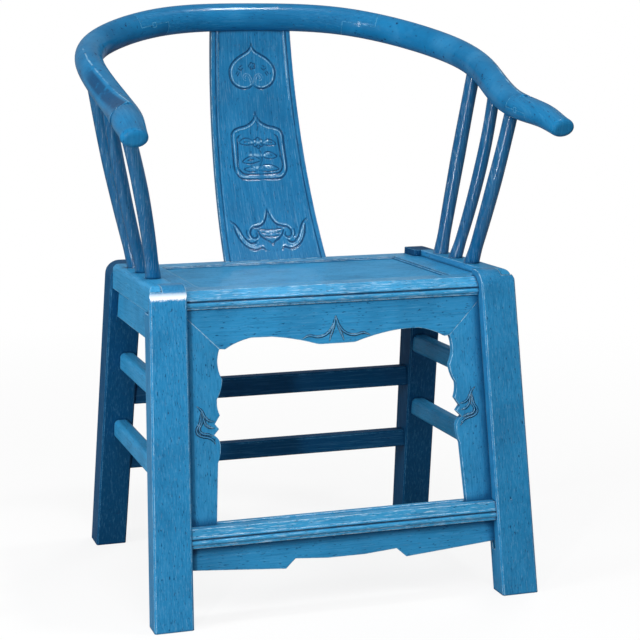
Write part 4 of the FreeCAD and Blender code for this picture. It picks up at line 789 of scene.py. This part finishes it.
# Carved ornament of the front apron and of its right bracket.
SWAG = [(0.4, 460), (2, 452), (6, 443), (16, 432.5), (30, 428.5), (45, 431), (56, 427)]
TONGUE = [(0.4, 455), (3.5, 444), (8, 433), (12, 421)]
LEAF_SCROLL = [
    [(230, 334), (223, 327), (218, 317), (212, 311), (203, 309)],
    [(222, 324), (219.5, 311), (217, 305), (211, 300.5), (204, 299)],
    [
        (223, 326), (225, 315), (227, 307), (232, 297), (230, 291), (224, 287.5), (214, 285), (207, 281),
        (203, 274),
    ],
    [(223.5, 318), (223, 309), (227.5, 298), (224, 292.5), (213, 289.5), (206, 287)],
]


def splat_strokes():
    """The strokes of the splat's three carvings, by their kind."""
    outlines = mirrored([MEDALLION, CARTOUCHE])
    inner = mirrored([beside(MEDALLION, 3.6), beside(CARTOUCHE, 3.8)])
    return {
        "bold": [*outlines, *mirrored([CARTOUCHE_RIM, CLOUD, KEEL, FLAMES[0], FLAMES[2]])],
        "fine": [
            *mirrored([SCROLL, *SPRIGS, FLAMES[1], FLAMES[3]]), STEM, *LEAVES, *VEINS, *REEDS,
            *petals(0, 707, 6, 9.5), *petals(0, 843, 5, 6),
        ],
        "bead": [*inner, *mirrored([beside(CLOUD, -3.2), beside(FLAMES[0], -3), beside(FLAMES[2], 3)])],
        "swell": [
            [(-20, 686), (20, 686)], [(-22, 664), (22, 664)], [(-20, 709), (20, 709)],
            *mirrored([SCROLL, FLAMES[1]]), [(-12, 554), (12, 554)], [(0, 843), (0, 844)],
        ],
    }


class CHAIR_OT_paint_frame(bpy.types.Operator):
    """Give every solid of the frame its painted or bare wood finish"""

    bl_idname = "chair.paint_frame"
    bl_label = "Paint the frame"

    def execute(self, context):
        for name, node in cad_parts.items():
            dress(node, name)
        return {"FINISHED"}


class CHAIR_OT_carve_splat(bpy.types.Operator):
    """Carve the medallion, the flower panel and the cloud scroll on the back splat"""

    bl_idname = "chair.carve_splat"
    bl_label = "Carve the splat"

    def execute(self, context):
        settings = context.scene.chair_carving
        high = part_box("back_splat")[1][2]
        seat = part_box("seat_back_rail")[1][2]
        front, back = front_of("back_splat"), front_of("back_splat", -1)
        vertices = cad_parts["back_splat"].data.vertices
        half_foot = max(vertex.co.x for vertex in vertices)
        half_head = max(vertex.co.x for vertex in vertices if vertex.co.z > high - MM)
        border, rim = settings.border, half_head - settings.border / 2
        field_arc = arc_through(front, 0, seat + MM, high - MM)
        border_arc = arc_through(front, rim, seat + MM, high - MM)
        back_arc = arc_through(back, 0, seat + MM, high - MM)
        carving = relief(splat_strokes())
        columns = FIELD_COLUMNS + 2 * EDGE_COLUMNS
        slab = closed_slab("carved_back_splat", columns, SPLAT_ROWS)
        step = settings.step / 2
        marked_depths = []
        for vertex in slab.data.vertices:
            across, up, behind = vertex.co
            z = seat + (high - seat) * (up + 1) / 2
            half = half_foot + (half_head - half_foot) * (up + 1) / 2
            column = round((across + 1) / 2 * columns)
            from_edge = min(column, columns - column)
            if from_edge <= EDGE_COLUMNS:
                x = half - (border - step) * from_edge / EDGE_COLUMNS
                y = border_arc(z)
            else:
                inner = half - border - step
                x = inner * (1 - 2 * (from_edge - EDGE_COLUMNS - 1) / (FIELD_COLUMNS - 2))
                y = field_arc(z)
            x = math.copysign(x, across)
            stands = border_mould(half - abs(x), border, settings) + carving(x, z)
            # The relief is marked as cut: the paint gives the cuts painted shade and the beads a painted
            # highlight.
            marked_depths.append(-stands if behind > -0.5 else 0)
            vertex.co = (x, y - stands if behind > -0.5 else back_arc(z), z)
        mark_depths(slab, marked_depths)
        finish_carving(slab, "back_splat")
        return {"FINISHED"}


def border_mould(inward, border, settings):
    """How far the mould of the splat's border stands out: a groove and a bead along its inner edge."""
    bead = 1 - ((inward - border + settings.bead / 2) / (settings.bead / 2)) ** 2
    groove = 1 - ((inward - border + settings.bead * 1.4) / (settings.bead * 0.45)) ** 2
    return max(bead, 0) * 0.4 * MM - max(groove, 0) * 0.9 * MM


def finish_carving(piece, node):
    """Shades a carved piece, paints it, and lets it stand for the node that it is cut from."""
    select_only(piece)
    bpy.ops.object.shade_smooth_by_angle(angle=math.radians(50))
    dress(piece, node)
    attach(piece, "root")
    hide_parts(node)


class CHAIR_OT_carve_apron(bpy.types.Operator):
    """Carve the swag on the front apron and the leaf scroll on each bracket"""

    bl_idname = "chair.carve_apron"
    bl_label = "Carve the apron"

    def execute(self, context):
        width = context.scene.chair_carving.strand
        for name, node, lines in (
            ("apron_swag", "front_apron", mirrored([SWAG, TONGUE])),
            ("leaf_scroll_right", "apron_bracket_right", LEAF_SCROLL),
            ("leaf_scroll_left", "apron_bracket_left", [[(-x, z) for x, z in line] for line in LEAF_SCROLL]),
        ):
            depth = front_of(node)
            carved = strands(name, lines, depth, width, STRAND_RISE, STRAND_WEAR_AND_GLINT)
            # A wide, nearly flat band round each strand, marked as cut so that it is painted dark as shade
            # round the line.
            shade_band = strands(
                name + "_undercut", lines, depth, width + SHADE_BAND_SPREAD, SHADE_BAND_RISE, SHADE_BAND_DEPTH
            )
            select_only(carved, shade_band)
            bpy.ops.object.join()
            dress(carved, node)
            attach(carved, "root")
        return {"FINISHED"}


def section_middle(nodes, y):
    """The middle of the section that some nodes have together at a Y, from their edges that cross it."""
    spots = []
    for node in nodes:
        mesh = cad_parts[node].data
        for edge in mesh.edges:
            start, end = (mesh.vertices[index].co for index in edge.vertices)
            if (start.y - y) * (end.y - y) < 0:
                spots.append(start.lerp(end, (y - start.y) / (end.y - start.y)))
    across, up = [spot.x for spot in spots], [spot.z for spot in spots]
    return Vector(((min(across) + max(across)) / 2, y, (min(up) + max(up)) / 2))


def between(rows, key):
    """The value at a key, between the rows of key and value that it lies between."""
    for (low, first), (high, second) in zip(rows, rows[1:]):
        if key <= high:
            return first + (second - first) * max(0.0, (key - low) / (high - low))
    return rows[-1][1]


def eased(share):
    """A share of the way from 0 to 1 that starts and ends gently."""
    share = min(1.0, max(0.0, share))
    return share * share * (3 - 2 * share)


def lap_profile(along, across):
    """How far the arm's lap stands out at a place, as a share of its ridge, and its share of painted shade.
    """
    rise = eased(along / 0.9)
    scooped = eased((along - 0.3) / 0.2)
    if across < 0:
        return rise * (1 + across / LAP_BLEND) ** 2, 0
    facet = 1 - across
    scoop = between(LAP_SCOOP, across)
    return rise * (facet + (scoop - facet) * scooped), between(LAP_SHADE, across) * scooped


class CHAIR_OT_carve_arms(bpy.types.Operator):
    """Carve the ridged and scooped lap on each arm, which ends in a step behind the grip"""

    bl_idname = "chair.carve_arms"
    bl_label = "Carve the arms"

    def execute(self, context):
        ridge_height = context.scene.chair_carving.ridge
        for name, side in (("arm_lap_right", 1), ("arm_lap_left", -1)):
            hand = "right" if side > 0 else "left"
            nodes = (f"crest_side_{hand}", f"crest_end_{hand}")
            tree = surface_of(*nodes)
            gap = (LAP_START - LAP_OUTER_END) / RAIL_SECTIONS
            middles = [
                section_middle(nodes, (LAP_OUTER_END + gap * step) * MM) for step in range(RAIL_SECTIONS + 1)
            ]
            middle_x = [(spot.y, spot.x) for spot in middles]
            middle_z = [(spot.y, spot.z) for spot in middles]
            slab = closed_slab(name, LAP_COLUMNS, LAP_ROWS)
            marked_depths = []
            for vertex in slab.data.vertices:
                share, along, behind = vertex.co
                across = (share + 1) / 2 * (1 + LAP_BLEND) - LAP_BLEND
                along = (along + 1) / 2
                end = LAP_RIDGE_END + (LAP_OUTER_END - LAP_RIDGE_END) * max(0.0, across)
                y = (LAP_START + (end - LAP_START) * along) * MM
                middle = Vector((between(middle_x, y), y, between(middle_z, y)))
                ridge_x = side * between(LAP_RIDGE, y / MM) * MM
                lean = math.asin(max(-0.9, min(0.9, side * (ridge_x - middle.x) / RAIL_RADIUS)))
                if across > 0:
                    turn = lean + (LAP_LOWEST - lean) * across
                else:
                    turn = lean + LAP_INNER * across / LAP_BLEND
                out = Vector((side * math.sin(turn), 0, math.cos(turn)))
                found = tree.ray_cast(middle + out * 2 * RAIL_RADIUS, -out, 2 * RAIL_RADIUS)[0]
                found = found or tree.find_nearest(middle + out * RAIL_RADIUS)[0]
                if behind < -0.5:
                    vertex.co = found - out * LAP_ROOT
                    marked_depths.append(0)
                    continue
                stands, shade = lap_profile(along, across)
                place = found + out * (stands * ridge_height - LAP_SEAM)
                place.x = max(CAD_BOX[0][0], min(CAD_BOX[1][0], place.x))
                vertex.co = place
                # The ridge takes a pale line of wear and painted highlight, the scoop painted shade, both
                # marked as cut.
                worn_and_glinting = LAP_RIDGE_WEAR_AND_GLINT if abs(across) < 0.03 and along > 0.08 else 0
                marked_depths.append(LAP_SHADE_DEPTH * shade - worn_and_glinting)
            mark_depths(slab, marked_depths)
            merge_and_turn_out(slab)
            select_only(slab)
            bpy.ops.object.shade_smooth_by_angle(angle=math.radians(35))
            dress(slab, nodes[0])
            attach(slab, "root")
        return {"FINISHED"}


def aim(thing, place, target):
    """Puts a thing at a place and turns it to face a target."""
    thing.location = place
    thing.rotation_mode = "QUATERNION"
    thing.rotation_quaternion = (Vector(target) - Vector(place)).to_track_quat("-Z", "Y")


class CHAIR_OT_stage(bpy.types.Operator):
    """Set up the floor, the lamps, the white backdrop and the camera"""

    bl_idname = "chair.stage"
    bl_label = "Set the stage"

    def execute(self, context):
        scene = context.scene
        settings = scene.chair_stage
        bpy.ops.object.select_all(action="DESELECT")
        bpy.ops.mesh.primitive_plane_add(size=PAPER_WIDTH, location=(0, 0, 0))
        floor = context.object
        floor.name = "floor"
        floor.data.materials.append(white_floor())
        white_world(scene, settings.fill)
        for name, power, (width, height), place, target, glossy in LAMPS:
            lamp = bpy.data.objects.new(name, bpy.data.lights.new(name, "AREA"))
            lamp.data.energy = getattr(settings, power)
            lamp.data.shape = "RECTANGLE"
            lamp.data.size = width
            lamp.data.size_y = height
            lamp.visible_glossy = glossy
            scene.collection.objects.link(lamp)
            aim(lamp, place, target)
        yaw, pitch, roll = settings.yaw, settings.pitch, settings.roll
        right = Vector((math.cos(yaw), -math.sin(yaw), 0))
        ahead = Vector((math.sin(yaw), math.cos(yaw), 0))
        up = Vector((0, 0, math.cos(pitch))) + ahead * math.sin(pitch)
        forward = ahead * math.cos(pitch) - Vector((0, 0, math.sin(pitch)))
        across = right * math.cos(roll) + up * math.sin(roll)
        rise = up * math.cos(roll) - right * math.sin(roll)
        camera = bpy.data.objects.new("camera", bpy.data.cameras.new("camera"))
        scene.collection.objects.link(camera)
        camera.data.sensor_width = SENSOR_WIDTH
        camera.data.lens = settings.lens
        camera.matrix_world = Matrix.Translation(settings.camera_place) @ Matrix(
            (across, rise, -forward)
        ).transposed().to_4x4()
        scene.camera = camera
        scene.view_settings.view_transform = "Standard"
        return {"FINISHED"}


def white_floor():
    """Matt white studio paper, which shows as white with the chair's soft shadow on it."""
    material = bpy.data.materials.new("matt_white_paper")
    material.use_nodes = True
    tree = material.node_tree
    tree.nodes.clear()
    white = add_node(tree, "ShaderNodeEmission", {"Strength": 1.0})
    seen = add_node(tree, "ShaderNodeLightPath")
    tone = add_node(
        tree, "ShaderNodeMix", {"data_type": "RGBA", 6: linear("#8c8c8c"), 7: linear("#f4f4f4")},
        {0: seen.outputs["Is Camera Ray"]}
    )
    paper = add_node(tree, "ShaderNodeBsdfDiffuse", links={"Color": tone.outputs[2]})
    # Close to the chair the paper takes its shadow, and further off it runs into the white surround.
    place = add_node(tree, "ShaderNodeTexCoord").outputs["Object"]
    away = add_node(tree, "ShaderNodeVectorMath", {"operation": "LENGTH"}, {0: place})
    fade = add_node(
        tree, "ShaderNodeMapRange", {"From Min": SHADOW_NEAR, "From Max": SHADOW_FAR, "To Min": 0.84},
        {"Value": away.outputs["Value"]}
    )
    share = add_node(
        tree, "ShaderNodeMath", {"operation": "MULTIPLY"},
        {0: seen.outputs["Is Camera Ray"], 1: fade.outputs[0]}
    )
    mix = add_node(
        tree, "ShaderNodeMixShader", links={0: share.outputs[0], 1: paper.outputs[0], 2: white.outputs[0]}
    )
    add_node(tree, "ShaderNodeOutputMaterial", links={"Surface": mix.outputs[0]})
    return material


def white_world(scene, fill):
    """A white surround for the camera and through glass, seen faintly in the gloss, and a low even light."""
    world = bpy.data.worlds.new("studio")
    scene.world = world
    world.use_nodes = True
    tree = world.node_tree
    tree.nodes.clear()
    ray = add_node(tree, "ShaderNodeLightPath")
    seen = add_node(
        tree, "ShaderNodeMath", {"operation": "MAXIMUM"},
        {0: ray.outputs["Is Camera Ray"], 1: ray.outputs["Is Transmission Ray"]}
    )
    mirrored_share = add_node(
        tree, "ShaderNodeMath", {"operation": "MULTIPLY", 1: 0.05}, {0: ray.outputs["Is Glossy Ray"]}
    )
    seen = add_node(
        tree, "ShaderNodeMath", {"operation": "MAXIMUM"}, {0: seen.outputs[0], 1: mirrored_share.outputs[0]}
    )
    strength = add_node(
        tree, "ShaderNodeMapRange", {"To Min": fill, "To Max": 1.0}, {"Value": seen.outputs[0]}
    )
    shown = add_node(
        tree, "ShaderNodeBackground", {"Color": (1, 1, 1, 1)}, {"Strength": strength.outputs[0]}
    )
    add_node(tree, "ShaderNodeOutputWorld", links={"Surface": shown.outputs[0]})


class CHAIR_PT_sidebar(bpy.types.Panel):
    """Lists the steps that dress the chair, with their sizes and colours"""

    bl_label = "Armchair"
    bl_idname = "CHAIR_PT_sidebar"
    bl_space_type = "VIEW_3D"
    bl_region_type = "UI"
    bl_category = "Armchair"

    def draw(self, context):
        for group in (context.scene.chair_paint, context.scene.chair_carving, context.scene.chair_stage):
            box = self.layout.box()
            for name in group.__annotations__:
                box.prop(group, name)
        for operator in OPERATORS:
            self.layout.operator(operator.bl_idname)


OPERATORS = (
    CHAIR_OT_paint_frame, CHAIR_OT_carve_splat, CHAIR_OT_carve_apron, CHAIR_OT_carve_arms, CHAIR_OT_stage
)
CLASSES = (PaintSettings, CarvingSettings, StageSettings, *OPERATORS, CHAIR_PT_sidebar)


def register():
    for kind in CLASSES:
        bpy.utils.register_class(kind)
    bpy.types.Scene.chair_paint = bpy.props.PointerProperty(type=PaintSettings)
    bpy.types.Scene.chair_carving = bpy.props.PointerProperty(type=CarvingSettings)
    bpy.types.Scene.chair_stage = bpy.props.PointerProperty(type=StageSettings)


def unregister():
    del bpy.types.Scene.chair_paint, bpy.types.Scene.chair_carving, bpy.types.Scene.chair_stage
    for kind in reversed(CLASSES):
        bpy.utils.unregister_class(kind)


def main():
    register()
    bpy.ops.chair.paint_frame()
    bpy.ops.chair.carve_splat()
    bpy.ops.chair.carve_apron()
    bpy.ops.chair.carve_arms()
    bpy.ops.chair.stage()


if __name__ == "__main__":
    main()
